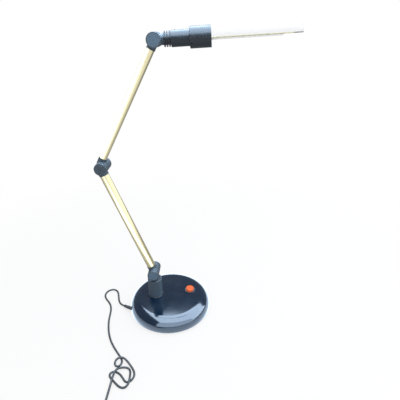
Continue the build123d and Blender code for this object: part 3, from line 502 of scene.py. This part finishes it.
class Repeats:
    """Geometry Nodes trees for what repeats or follows a path."""

    RING_STEPS, WIRE_STEPS, BEAD_STEPS = 48, 8, 12

    def __init__(self, shelf: FinishShelf) -> None:
        """Build every tree.

        Args:
            shelf: The finishes that the pieces wear.
        """
        self.shelf = shelf
        self.rings = self._ring_row()
        self.bars = self._bar_row()
        self.beads = self._bead_line()

    @staticmethod
    def _open(name: str, *inputs: str) -> tuple[Bench, Any]:
        """Start a tree that also takes geometry and a material."""
        return Bench.group(name, "Geometry", ("Geometry", *inputs, "Material"), ("Geometry",))

    @staticmethod
    def _circle(bench: Bench, steps: int, radius: bpy.types.NodeSocket) -> bpy.types.NodeSocket:
        """Add a circle."""
        return bench.add("GeometryNodeCurvePrimitiveCircle", {"Resolution": steps, "Radius": radius}).outputs[0]

    @staticmethod
    def _close(bench: Bench, given: Any, shape: bpy.types.NodeSocket, smooth: bool) -> bpy.types.NodeTree:
        """End a tree in real faces with their shading and material.

        Args:
            bench: The tree's bench.
            given: Outputs of its input node.
            shape: What it has made.
            smooth: Whether the faces are shaded smooth.

        Returns:
            The tree.
        """
        real = bench.add("GeometryNodeRealizeInstances", {0: shape}).outputs[0]
        shaded = bench.add("GeometryNodeSetShadeSmooth", {"Geometry": real, "Shade Smooth": smooth}).outputs[0]
        feeds = {"Geometry": shaded, "Material": given["Material"]}
        return bench.close(Geometry=bench.add("GeometryNodeSetMaterial", feeds).outputs[0])

    @staticmethod
    def _set_out(bench: Bench, given: Any, piece: bpy.types.NodeSocket,
                 spin: Optional[bpy.types.NodeSocket] = None) -> bpy.types.NodeSocket:
        """Put a piece at each place, as large as the place says and facing its way.

        Args:
            bench: The tree's bench.
            given: Outputs of its input node.
            piece: The piece.
            spin: Turn about the way it faces.

        Returns:
            The row of pieces.
        """
        way = bench.add("GeometryNodeInputNamedAttribute", {"Name": "facing"}, data_type="FLOAT_VECTOR").outputs[0]
        girth = bench.add("GeometryNodeInputNamedAttribute", {"Name": "girth"}, data_type="FLOAT").outputs[0]
        turn = bench.add("FunctionNodeAlignRotationToVector", {"Vector": way}, axis="Z").outputs[0]
        if spin is not None:
            feeds = {"Rotation": turn, "Rotate By": spin}
            turn = bench.add("FunctionNodeRotateRotation", feeds, rotation_space="LOCAL").outputs[0]
        feeds = {"Points": given["Geometry"], "Instance": piece, "Rotation": turn, "Scale": girth}
        return bench.add("GeometryNodeInstanceOnPoints", feeds).outputs[0]

    def _ring_row(self) -> bpy.types.NodeTree:
        """A round wire ring at each place.

        Returns:
            The tree.
        """
        bench, given = self._open("ring_row", "Ring Radius", "Wire Radius")
        loop = self._circle(bench, self.RING_STEPS, given["Ring Radius"])
        wire = self._circle(bench, self.WIRE_STEPS, given["Wire Radius"])
        ring = bench.add("GeometryNodeCurveToMesh", {"Curve": loop, "Profile Curve": wire}).outputs[0]
        return self._close(bench, given, self._set_out(bench, given, ring), True)

    def _bar_row(self) -> bpy.types.NodeTree:
        """A small bar, or two that cross, at each place.

        Returns:
            The tree.
        """
        bench, given = self._open("bar_row", "Length", "Width", "Height", "Crossed", "Spin", "Stray", "Seed")
        bars = []
        for x, y in (("Length", "Width"), ("Width", "Length")):
            size = bench.add("ShaderNodeCombineXYZ", {"X": given[x], "Y": given[y], "Z": given["Height"]})
            bars.append(bench.add("GeometryNodeMeshCube", {"Size": size.outputs[0]}).outputs[0])
        both = bench.add("GeometryNodeJoinGeometry", {0: bars[0]})
        bench.feed(both, {0: bars[1]})
        feeds = {"Switch": given["Crossed"], "False": bars[0], "True": both.outputs[0]}
        bar = bench.add("GeometryNodeSwitch", feeds, input_type="GEOMETRY").outputs[0]
        stray = bench.add("FunctionNodeRandomValue", {"Seed": given["Seed"]}, data_type="FLOAT")
        most = [s for s in stray.inputs if s.type == "VALUE" and s.enabled][1]
        bench.tree.links.new(given["Stray"], most)
        drawn = next(s for s in stray.outputs if s.type == "VALUE" and s.enabled)
        feeds = {"Axis": (0.0, 0.0, 1.0), "Angle": bench.math("ADD", drawn, given["Spin"])}
        spin = bench.add("FunctionNodeAxisAngleToRotation", feeds).outputs[0]
        return self._close(bench, given, self._set_out(bench, given, bar, spin), False)

    def _bead_line(self) -> bpy.types.NodeTree:
        """A round bead along a line of edges.

        Returns:
            The tree.
        """
        bench, given = self._open("bead_line", "Bead Radius")
        path = bench.add("GeometryNodeMeshToCurve", {"Mesh": given["Geometry"]}).outputs[0]
        wire = self._circle(bench, self.BEAD_STEPS, given["Bead Radius"])
        feeds = {"Curve": path, "Profile Curve": wire, "Fill Caps": True}
        return self._close(bench, given, bench.add("GeometryNodeCurveToMesh", feeds).outputs[0], True)

    def grow(self, name: str, seed: Union[PointSet, bpy.types.Mesh], tree: bpy.types.NodeTree,
             values: Mapping[str, Any], body: str, slot: str, finish: Optional[str] = None) -> bpy.types.Object:
        """Run a tree on places or a mesh and keep the result as a plain piece.

        Args:
            name: Name of the piece.
            seed: What the tree starts from.
            tree: The tree.
            values: A value for each named input.
            body: Body that the piece rides on.
            slot: Slot of its finish.
            finish: Its finish, if that isn't the slot's own.

        Returns:
            The piece.
        """
        piece = new_piece(name, seed.mesh(name) if isinstance(seed, PointSet) else seed)
        modifier = piece.modifiers.new("repeat", "NODES")
        modifier.node_group = tree
        keys = {item.name: item.identifier for item in tree.interface.items_tree
                if item.item_type == "SOCKET" and item.in_out == "INPUT"}
        for key, value in {**values, "Material": self.shelf.material(finish or slot)}.items():
            modifier[keys[key]] = value
        depsgraph = bpy.context.evaluated_depsgraph_get()
        depsgraph.update()
        grown = bpy.data.meshes.new_from_object(piece.evaluated_get(depsgraph))
        piece.modifiers.remove(modifier)
        piece.data = grown
        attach(piece, body)
        LOG.info("%s has %d faces on %s", name, len(grown.polygons), body)
        return piece


@dataclass
class Viewpoint:
    """Camera at the photograph's viewing angle."""

    place: Point = (0.0929, -0.7037, 0.6402)
    yaw: float = -0.02116
    pitch: float = 0.44998
    roll: float = -0.00658
    lens_mm: float = 31.70
    sensor_mm: float = 36.0
    nearest: float = 0.01

    def build(self) -> None:
        """Make the scene's camera."""
        level = math.cos(self.pitch)
        ahead = Vector((math.sin(self.yaw) * level, math.cos(self.yaw) * level, -math.sin(self.pitch)))
        right = Vector((math.cos(self.yaw), -math.sin(self.yaw), 0.0))
        leaned = right * math.cos(self.roll) + right.cross(ahead) * math.sin(self.roll)
        turn = Matrix((leaned, leaned.cross(ahead), -ahead)).transposed().to_4x4()
        data = bpy.data.cameras.new("viewpoint")
        data.lens = self.lens_mm
        data.sensor_width = self.sensor_mm
        data.clip_start = self.nearest
        camera = new_piece("viewpoint", data)
        camera.matrix_world = Matrix.Translation(self.place) @ turn
        bpy.context.scene.camera = camera


@dataclass(frozen=True)
class RibRow:
    """Round ribs of a strain relief that widens along its length."""

    name: str
    slot: str
    count: int
    first: float
    step: float
    length: float
    widening: float
    wire: float
    thin_end: float = 3.0
    ring: float = 0.001

    def build(self, repeats: Repeats, start: Vector, way: Vector, facing: Vector) -> bpy.types.Object:
        """Make the ribs.

        Args:
            repeats: The trees.
            start: Thin end of the relief.
            way: Way to its wide end.
            facing: Way that the ribs face.

        Returns:
            The piece.
        """
        places = PointSet()
        for k in range(self.count):
            run = self.first + self.step * k
            places.add(start + way * run, facing, self.thin_end + self.widening * run / self.length)
        values = {"Ring Radius": self.ring, "Wire Radius": self.wire}
        return repeats.grow(self.name, places, repeats.rings, values, "base", self.slot)


@dataclass(frozen=True)
class PlugGrip:
    """Grip ridges on both flanks of the plug, which widens behind its strain relief."""

    relief: float = 0.022
    body: float = 0.036
    narrow: float = 0.0170
    wide: float = 0.0353
    count: int = 6
    first: float = 0.014
    step: float = 0.0028
    ridge: Point = (0.0075, 0.0011, 0.0009)

    def build(self, repeats: Repeats, tail: Vector, heading: Vector) -> bpy.types.Object:
        """Make the ridges.

        Args:
            repeats: The trees.
            tail: End of the cord.
            heading: Way that the plug points.

        Returns:
            The piece.
        """
        across = Vector((-heading.y, heading.x, 0.0))
        places = PointSet()
        for side in (-1.0, 1.0):
            for k in range(self.count):
                run = self.first + self.step * k
                half = (self.narrow + (self.wide - self.narrow) * run / self.body) / 2
                places.add(tail + heading * (self.relief + run) + across * side * half, across * side)
        values = dict(zip(("Length", "Width", "Height"), self.ridge), Spin=math.pi / 2)
        return repeats.grow("plug_grip", places, repeats.bars, values, "base", "plug_grey")


@dataclass(frozen=True)
class CoilBand:
    """Soft band round the coil, with its loose end pressed flat on top."""

    wall: float = 0.0008
    corner: float = 0.0032
    corner_steps: int = 6
    flap: float = 0.011
    flap_start: float = 0.001
    flap_inset: float = 0.0006
    tip: float = 0.002
    tip_inset: float = 0.0024
    sunk: float = 0.0003
    raised: float = 0.0006
    edge: float = 0.00025
    edge_steps: int = 2

    def build(self, shelf: FinishShelf) -> bpy.types.Object:
        """Make the band.

        Args:
            shelf: The finishes.

        Returns:
            The band.
        """
        low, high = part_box("coil_tie")
        half, middle_x = (high.x - low.x) / 2, (low.x + high.x) / 2
        corner, inner = self.corner, self.corner - self.wall
        centres = [(high.y - corner, high.z - corner, 0.0), (low.y + corner, high.z - corner, 90.0),
                   (low.y + corner, low.z + corner, 180.0), (high.y - corner, low.z + corner, 270.0)]
        work = bmesh.new()
        rows = []
        for y, z, start in centres:
            for k in range(self.corner_steps + 1):
                angle = math.radians(start + 90.0 * k / self.corner_steps)
                rows.append([work.verts.new((middle_x + x, y + reach * math.cos(angle), z + reach * math.sin(angle)))
                             for x, reach in ((-half, corner), (half, corner), (half, inner), (-half, inner))])
        for first, second in zip(rows, rows[1:] + rows[:1]):
            for k in range(4):
                work.faces.new((first[k], second[k], second[(k + 1) % 4], first[(k + 1) % 4]))
        side, tip_side, tip_start = half - self.flap_inset, half - self.tip_inset, self.flap - self.tip
        outline = [(-side, 0.0), (side, 0.0), (side, tip_start), (tip_side, self.flap), (-tip_side, self.flap),
                   (-side, tip_start)]
        near = low.y + corner + self.flap_start
        lower, upper = ([work.verts.new((middle_x + x, near + y, z)) for x, y in outline]
                        for z in (high.z - self.sunk, high.z + self.raised))
        work.faces.new(upper)
        work.faces.new(lower[::-1])
        for k in range(len(outline)):
            after = (k + 1) % len(outline)
            work.faces.new((lower[k], lower[after], upper[after], upper[k]))
        bmesh.ops.recalc_face_normals(work, faces=work.faces)
        mesh = bpy.data.meshes.new("coil_band")
        work.to_mesh(mesh)
        work.free()
        band = new_piece("coil_band", mesh)
        bevel = band.modifiers.new("soft_edge", "BEVEL")
        bevel.width, bevel.segments = self.edge, self.edge_steps
        mesh.materials.append(shelf.material("tie_black"))
        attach(band, "base")
        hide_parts("coil_tie")
        LOG.info("coil_band has %d faces on base", len(mesh.polygons))
        return band


@dataclass
class MainsLead:
    """Free cord with its put-away coil, the band round the coil and the plug's details."""

    GLAND: ClassVar[RibRow] = RibRow("gland_ribs", "cord_grey", count=7, first=0.0016, step=0.0022, length=0.023,
                                     widening=1.2, wire=0.00012)
    RELIEF: ClassVar[RibRow] = RibRow("plug_relief_ribs", "plug_grey", count=6, first=0.003, step=0.0030,
                                      length=0.022, widening=1.6, wire=0.00016)
    radius: float = 0.0022
    length: float = 1.77
    pitch: float = 0.0049
    coil_radius: float = 0.0337
    turns_in: int = 6
    turns_out: int = 5
    steps: int = 12
    straight: float = 0.005
    ease: float = 0.0022
    exit_radius: float = 0.024
    exit_turn: float = math.radians(40.0)
    exit_steps: int = 4
    spline_order: int = 3
    spline_steps: int = 6
    round_steps: int = 5
    route_mm: tuple[Point, ...] = (
        (-116.3, -14.6, 6.6), (-124.0, -10.0, 5.5), (-131.0, -1.5, 3.6), (-136.5, 10.0, 2.3),
        (-140.0, 22.5, 2.2), (-143.5, 35.5, 2.2), (-149.0, 47.0, 2.2), (-159.0, 53.0, 2.2),
        (-170.0, 50.5, 2.2), (-177.0, 41.0, 2.2), (-178.0, 28.5, 2.2), (-172.5, 16.5, 2.2),
        (-163.5, 6.0, 2.2), (-155.0, -6.0, 2.2), (-149.5, -21.0, 2.2), (-147.3, -38.0, 2.2),
        (-146.2, -54.0, 2.2), (-143.6, -70.5, 2.2), (-139.4, -88.0, 2.2), (-133.5, -105.5, 2.2),
        (-125.8, -122.5, 2.2), (-116.0, -138.0, 2.2), (-105.3, -152.5, 2.2), (-96.3, -163.5, 2.2),
        (-90.4, -171.4, 2.2), (-87.2, -178.3, 2.2), (-87.6, -185.4, 2.2), (-91.2, -190.8, 2.2),
        (-97.0, -191.2, 2.6), (-101.0, -186.8, 4.0), (-101.0, -180.6, 6.2), (-97.0, -175.6, 8.2),
        (-90.0, -172.4, 8.3), (-81.5, -174.6, 6.4), (-74.6, -180.0, 3.4), (-67.4, -188.0, 2.2),
        (-60.8, -196.4, 2.2), (-56.0, -205.0, 2.2), (-54.6, -213.6, 2.2), (-57.6, -221.6, 2.2),
        (-63.2, -227.6, 2.2), (-70.0, -227.2, 2.2), (-75.6, -220.6, 2.2), (-82.0, -212.2, 2.2),
        (-90.0, -206.0, 2.2), (-98.6, -203.2, 2.2), (-105.2, -206.6, 2.2), (-106.0, -213.6, 2.2),
        (-100.6, -220.2, 2.2), (-93.0, -227.0, 2.2), (-85.0, -234.4, 2.2), (-76.6, -240.0, 2.2),
        (-68.0, -240.6, 3.2), (-62.4, -234.4, 6.0), (-61.4, -226.0, 8.3), (-62.6, -215.8, 5.8),
        (-64.0, -205.6, 2.8), (-67.2, -197.4, 2.2), (-74.0, -193.4, 2.2), (-82.6, -194.0, 3.2),
        (-90.0, -197.8, 5.8), (-94.8, -205.0, 8.2), (-96.4, -213.6, 7.6), (-97.0, -223.0, 8.2),
        (-97.6, -234.0, 6.0), (-98.4, -246.0, 3.8), (-98.9, -259.0, 3.3), (-99.0, -274.0, 3.3),
        (-98.5, -290.0, 3.3), (-98.5, -304.5, 3.3),
    )

    @property
    def heading(self) -> Vector:
        """Way that the cord runs into the plug."""
        return Vector((-math.sin(self.exit_turn), -math.cos(self.exit_turn), 0.0))

    def control_points(self) -> list[Vector]:
        """Work out the spline's control points.

        Returns:
            The route's points, then the coil's turns and the way out to the plug.
        """
        points = [Vector(p) / 1000.0 for p in self.route_mm]
        x, y, z = points[-1].x, points[-1].y - self.straight, points[-1].z
        radius, hand = self.coil_radius, 1.0
        points.append(Vector((x, y + self.ease, z)))
        for turn in range(self.turns_in + 1 + self.turns_out):
            climb = self.pitch if turn == self.turns_in else 0.0
            centre = x + hand * radius
            reach = radius / math.cos(math.pi / self.steps / 2)
            for k in range(self.steps):
                share = (k + 0.5) / self.steps
                angle = math.pi * share
                points.append(Vector((centre - hand * reach * math.cos(angle), y - hand * reach * math.sin(angle),
                                      z + climb * share)))
            x, z, hand = x + hand * 2 * radius, z + climb, -hand
            radius += -self.pitch / 2 if turn < self.turns_in else self.pitch / 2
        half_step = self.exit_turn / self.exit_steps / 2
        reach = self.exit_radius / math.cos(half_step)
        for k in range(self.exit_steps):
            angle = half_step * (2 * k + 1)
            points.append(Vector((x - self.exit_radius + reach * math.cos(angle), y - reach * math.sin(angle), z)))
        leave = Vector((x - self.exit_radius * (1 - math.cos(self.exit_turn)),
                        y - self.exit_radius * math.sin(self.exit_turn), z))
        points.append(leave + self.straight * self.heading)
        return points

    def build(self) -> bpy.types.Object:
        """Make the cord as one spline.

        Returns:
            The cord.
        """
        data = bpy.data.curves.new("mains_cord", "CURVE")
        data.dimensions = "3D"
        points = self.control_points()
        spline = data.splines.new("NURBS")
        spline.points.add(len(points) - 1)
        for slot, point in zip(spline.points, points):
            slot.co = (*point, 1.0)
        spline.order_u = self.spline_order
        spline.use_endpoint_u = True
        spline.resolution_u = self.spline_steps
        data.bevel_depth = self.radius
        data.bevel_resolution = self.round_steps
        data.use_fill_caps = True
        return new_piece("mains_cord", data)

    def dress(self, cord: bpy.types.Object, repeats: Repeats) -> None:
        """Give the cord its sheath, its trims and its place in the model.

        Args:
            cord: The cord.
            repeats: The trees.
        """
        cord.data.materials.append(repeats.shelf.material("cord_grey"))
        band = CoilBand().build(repeats.shelf)
        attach(cord, "base")
        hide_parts("cord_free", "cord_coil")
        start, second = (Vector(p) / 1000.0 for p in self.route_mm[:2])
        ahead = (second - start).normalized()
        self.GLAND.build(repeats, start, -ahead, ahead)
        tail = self.control_points()[-1]
        ridges = [self.RELIEF.build(repeats, tail, self.heading, self.heading),
                  PlugGrip().build(repeats, tail, self.heading)]
        LOG.info("mains_cord is %.2f m long on base", self.length)


@dataclass
class Joints:
    """Raised rings on the end caps of the three friction joints."""

    ring_radius: float = 0.0078
    wire_radius: float = 0.00028
    names: tuple[str, ...] = ("foot_joint", "elbow_joint", "head_joint")

    def build(self, repeats: Repeats) -> None:
        """Make one set of rings for each body that carries caps.

        Args:
            repeats: The trees.
        """
        sets: dict[str, PointSet] = {}
        for name in self.names:
            for side, part in ((-1.0, "front_cap"), (1.0, "rear_cap")):
                node = f"{name}_{part}"
                low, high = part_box(node)
                face = low.y if side < 0 else high.y
                place = ((low.x + high.x) / 2, face, (low.z + high.z) / 2)
                sets.setdefault(body_of_node(node), PointSet()).add(place, (0.0, side, 0.0))
        values = {"Ring Radius": self.ring_radius, "Wire Radius": self.wire_radius}
        for body, places in sets.items():
            repeats.grow(f"{body}_cap_rings", places, repeats.rings, values, body, "joint_black")


@dataclass
class Shade:
    """Trim of the reflector's lower edge: an olive bead whose colour is partly painted shade of the reflector's
    inside, and a dark brown end that is painted shadow.
    """

    pivot: Point = (-0.00261174, 0.0, 0.624598)
    tilt: float = math.radians(Lay.HEAD.value)
    start: float = 0.1040
    tip_start: float = 0.2480
    end: float = 0.2654
    side: float = 0.0180
    corner: float = 0.0074
    corner_steps: int = 8
    drop: float = 0.0021
    bead: float = 0.0009
    tip_bead: float = 0.000945

    def at(self, down: float, across: float, along: float) -> Vector:
        """Turn a place on the head into a place in the model.

        Args:
            down: Distance below the head's axis.
            across: Distance to the back.
            along: Distance from the pivot along the axis.

        Returns:
            The place in the model.
        """
        axis = Vector((math.sin(self.tilt), 0.0, math.cos(self.tilt)))
        under = Vector((math.cos(self.tilt), 0.0, -math.sin(self.tilt)))
        return Vector(self.pivot) + axis * along + under * down + Vector((0.0, across, 0.0))

    def build(self, repeats: Repeats) -> None:
        """Make the bead along both edges, its colour partly painted shade, and its dark end, which is painted shadow.

        Args:
            repeats: The trees.
        """
        sides = (-1.0, 1.0)
        runs = [(side * self.side, along) for side in sides for along in (self.start, self.tip_start)]
        # The olive bead is a trim whose colour is partly painted shade of the reflector's inside.
        self._bead(repeats, "rim_bead", runs, [(0, 1), (2, 3)], self.bead, "rim_olive_painted_shade")
        # The dark brown end round the reflector's end is painted shadow.
        plan = [(-self.side, self.tip_start)]
        for side in sides:
            for k in range(self.corner_steps + 1):
                angle = math.pi / 2 * (k if side < 0 else self.corner_steps - k) / self.corner_steps
                plan.append((side * (self.side - self.corner * (1 - math.cos(angle))),
                             self.end - self.corner * (1 - math.sin(angle))))
        plan.append((self.side, self.tip_start))
        edges = [(k, k + 1) for k in range(len(plan) - 1)]
        self._bead(repeats, "rim_tip_painted_shadow", plan, edges, self.tip_bead, "rim_brown_painted_shadow")

    def _bead(self, repeats: Repeats, name: str, plan: Sequence[tuple[float, float]],
              edges: Sequence[tuple[int, int]], radius: float, finish: str) -> None:
        """Make one bead.

        Args:
            repeats: The trees.
            name: Name of the piece.
            plan: Its places, each across and along the head.
            edges: Pairs of places that it joins.
            radius: Half its thickness.
            finish: Its finish.
        """
        mesh = bpy.data.meshes.new(name)
        mesh.from_pydata([self.at(self.drop, across, along) for across, along in plan], edges, [])
        repeats.grow(name, mesh, repeats.beads, {"Bead Radius": radius}, "shade", "arm_gold", finish)


@dataclass
class Underside:
    """Dark crosses set into the faces of the tray's screw heads: painted shade that stands for their cross recesses.
    """

    count: int = 4
    head_radius: float = 0.004
    lift: float = 0.0001
    bar: Point = (0.0042, 0.0009, 0.0003)
    seed: int = 5

    def build(self, repeats: Repeats) -> None:
        """Make the dark crosses, which are painted shade.

        Args:
            repeats: The trees.
        """
        low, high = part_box("tray_screws")
        reach = high.x - self.head_radius
        places = PointSet()
        for k in range(self.count):
            angle = 2.0 * math.pi * k / self.count
            places.add((reach * math.cos(angle), reach * math.sin(angle), low.z + self.lift), (0.0, 0.0, -1.0))
        values = dict(zip(("Length", "Width", "Height"), self.bar), Crossed=True, Stray=math.pi, Seed=self.seed)
        # Dark tray steel on the bright screw heads is painted shade of the cross recesses, which are not cut.
        repeats.grow("tray_screw_recess_painted_shade", places, repeats.bars, values, "base", "tray_steel")


@dataclass(frozen=True)
class Panel:
    """One flat light panel of the studio."""

    name: str
    place: Point
    aim: Point
    size: tuple[float, float]
    radiance: float
    light: Light
    colour: Colour = (1.0, 1.0, 1.0)
    shown_by: tuple[str, ...] = ()
    hidden_from: tuple[str, ...] = ()

    def build(self) -> None:
        """Hang the panel, for all pieces, only those in shown_by or all but those in hidden_from."""
        data = bpy.data.lights.new(self.name, "AREA")
        data.shape = "RECTANGLE"
        data.size, data.size_y = self.size
        data.energy = self.radiance * math.pi * self.size[0] * self.size[1]
        data.color = self.colour
        lamp = new_piece(self.name, data)
        turn = Vector(self.aim).to_track_quat("-Z", "Y")
        lamp.matrix_world = Matrix.Translation(self.place) @ turn.to_matrix().to_4x4()
        lamp.visible_camera = False
        lamp.visible_diffuse = self.light is Light.SOFT
        lamp.visible_glossy = self.light is Light.MIRRORED
        if self.shown_by or self.hidden_from:
            group = bpy.data.collections.new(self.name)
            for node in self.shown_by + self.hidden_from:
                group.objects.link(NODES[node])
            for member in group.collection_objects:
                member.light_linking.link_state = "INCLUDE" if self.shown_by else "EXCLUDE"
            lamp.light_linking.receiver_collection = group


@dataclass
class Studio:
    """Plain pale floor, white surroundings and soft light."""

    floor_half: float = 6.0
    floor_z: float = -0.0003
    sky: Colour = (0.62, 0.79, 1.0)
    sky_level: float = 16.0
    low_sky_level: float = 9.0
    ceiling: float = 1.50
    left: float = -0.75
    right: float = 2.60
    front: float = -1.25
    back: float = 1.12
    floor_tone: Colour = (0.86, 0.86, 0.86)
    white: Colour = (1.0, 1.0, 1.0)
    shadow_reach: tuple[float, float] = (0.25, 1.1)
    shadow_white: float = 0.72
    far_floor: tuple[float, float] = (-0.5, 0.1)
    far_dimming: float = 0.7
    skyline: tuple[float, float] = (0.02, 0.10)
    low_mirrored: Colour = (0.66, 0.68, 0.70)
    high_mirrored: Colour = (0.42, 0.44, 0.47)
    soft_light: Colour = (0.62, 0.63, 0.65)

    def panels(self) -> tuple[Panel, ...]:
        """List the light panels.

        Returns:
            The softbox, the window, the light on the pale caps, then the panels that only single pieces mirror.
        """
        down, up, inward = (0.0, 0.0, -1.0), (0.0, 0.0, 1.0), (0.0, 1.0, 0.0)
        leftward, rightward = (-1.0, 0.0, 0.0), (1.0, 0.0, 0.0)
        cover, lower, upper = ("base_cover",), ("lower_tube",), ("upper_tube",)
        caps = tuple(f"{joint}_{side}_cap" for joint in Joints.names for side in ("front", "rear"))
        pale_caps = ("foot_joint_front_cap", "head_joint_front_cap")
        middle_x, middle_y = (self.left + self.right) / 2, (self.front + self.back) / 2
        span = (self.right - self.left, self.back - self.front)
        front_low, right_low = 0.15, 0.40
        return (
            Panel("softbox", (0.55, -0.55, 1.60), down, (2.3, 4.2), 1.1, Light.SOFT, (0.96, 0.98, 1.0)),
            Panel("window", (middle_x, middle_y, self.ceiling), down, span, self.sky_level, Light.MIRRORED, self.sky,
                  hidden_from=("lower_tube", "upper_tube", "reflector", "lamp_tubes", "lamp_cap", "plug_pins",
                               "foot_ring") + caps),
            Panel("cap_light", (0.0, -1.30, 0.50), inward, (1.6, 1.2), 5.4, Light.SOFT, self.sky, pale_caps),
            Panel("front_window", (middle_x, self.front, (front_low + self.ceiling) / 2), inward,
                  (span[0], self.ceiling - front_low), self.low_sky_level, Light.MIRRORED, self.sky, cover),
            Panel("right_window", (self.right, middle_y, (right_low + self.ceiling) / 2), leftward,
                  (span[1], self.ceiling - right_low), self.sky_level, Light.MIRRORED, self.sky, cover),
            Panel("cover_table", (0.0, -0.70, 0.002), up, (4.0, 2.2), 4.0, Light.MIRRORED, self.sky, cover),
            Panel("lower_table", (0.15, -0.75, 0.003), up, (1.1, 1.0), 1.8, Light.MIRRORED, shown_by=lower),
            Panel("lower_right", (2.50, 0.50, 0.55), leftward, (7.0, 1.1), 0.9, Light.MIRRORED, shown_by=lower),
            Panel("upper_table", (-1.15, -2.30, 0.004), up, (2.5, 3.4), 1.0, Light.MIRRORED, shown_by=upper),
            Panel("upper_left", (-1.60, -1.30, 0.90), rightward, (5.4, 1.4), 2.0, Light.MIRRORED, shown_by=upper),
        )

    def build(self) -> None:
        """Make the floor, the world and the light panels."""
        bpy.context.scene.view_settings.view_transform = "Standard"
        self._floor()
        self._world()
        for panel in self.panels():
            panel.build()

    def _floor(self) -> None:
        """Make the floor: white to the eye and in mirrors, with the lamp's shadow on it."""
        half, z = self.floor_half, self.floor_z
        mesh = bpy.data.meshes.new("floor")
        mesh.from_pydata([(-half, -half, z), (half, -half, z), (half, half, z), (-half, half, z)], [], [(0, 1, 2, 3)])
        floor = new_piece("floor", mesh)
        material = bpy.data.materials.new("floor_white")
        material.use_nodes = True
        bench = Bench(material.node_tree)
        bench.tree.nodes.clear()
        lit = bench.add("ShaderNodeBsdfDiffuse", {"Color": (*self.floor_tone, 1.0)}).outputs[0]
        ray = bench.add("ShaderNodeLightPath").outputs
        place = bench.add("ShaderNodeTexCoord").outputs["Object"]
        depth = bench.add("ShaderNodeSeparateXYZ", {0: place}).outputs["Y"]
        far = bench.step(depth, *self.far_floor, 0.0, self.far_dimming)
        strength = bench.math("SUBTRACT", 1.0, bench.math("MULTIPLY", ray["Is Glossy Ray"], far))
        bright = bench.add("ShaderNodeEmission", {"Color": (*self.white, 1.0), "Strength": strength}).outputs[0]
        seen = bench.math("MAXIMUM", ray["Is Camera Ray"],
                          bench.math("MAXIMUM", ray["Is Glossy Ray"], ray["Is Transmission Ray"]))
        away = bench.add("ShaderNodeVectorMath", {0: place}, operation="LENGTH").outputs["Value"]
        share = bench.math("MULTIPLY", seen, bench.step(away, *self.shadow_reach, self.shadow_white, 1.0))
        surface = bench.add("ShaderNodeMixShader", {0: share, 1: lit, 2: bright}).outputs[0]
        bench.add("ShaderNodeOutputMaterial", {"Surface": surface})
        mesh.materials.append(material)

    def _world(self) -> None:
        """Make the surroundings: white to the eye, dimmer high up in mirrors, even for soft light."""
        world = bpy.data.worlds.new("surroundings")
        world.use_nodes = True
        bpy.context.scene.world = world
        bench = Bench(world.node_tree)
        way = bench.add("ShaderNodeTexCoord").outputs["Generated"]
        height = bench.add("ShaderNodeSeparateXYZ", {0: way}).outputs["Z"]
        mirrored = bench.mix(bench.step(height, *self.skyline), self.low_mirrored, self.high_mirrored)
        ray = bench.add("ShaderNodeLightPath").outputs
        mirror = bench.math("MAXIMUM", ray["Is Glossy Ray"], ray["Is Transmission Ray"])
        soft = bench.mix(mirror, self.soft_light, mirrored)
        ground = next(node for node in bench.tree.nodes if node.type == "BACKGROUND")
        bench.feed(ground, {"Color": bench.mix(ray["Is Camera Ray"], soft, self.white)})


def main() -> None:
    """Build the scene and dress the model."""
    logging.basicConfig(level=logging.INFO, format="%(name)s: %(message)s")
    Viewpoint().build()
    lead = MainsLead()
    cord = lead.build()
    Studio().build()
    shelf = FinishShelf()
    shelf.dress_frame()
    repeats = Repeats(shelf)
    lead.dress(cord, repeats)
    Joints().build(repeats)
    Shade().build(repeats)
    Underside().build(repeats)
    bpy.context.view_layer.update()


if __name__ == "__main__":
    main()
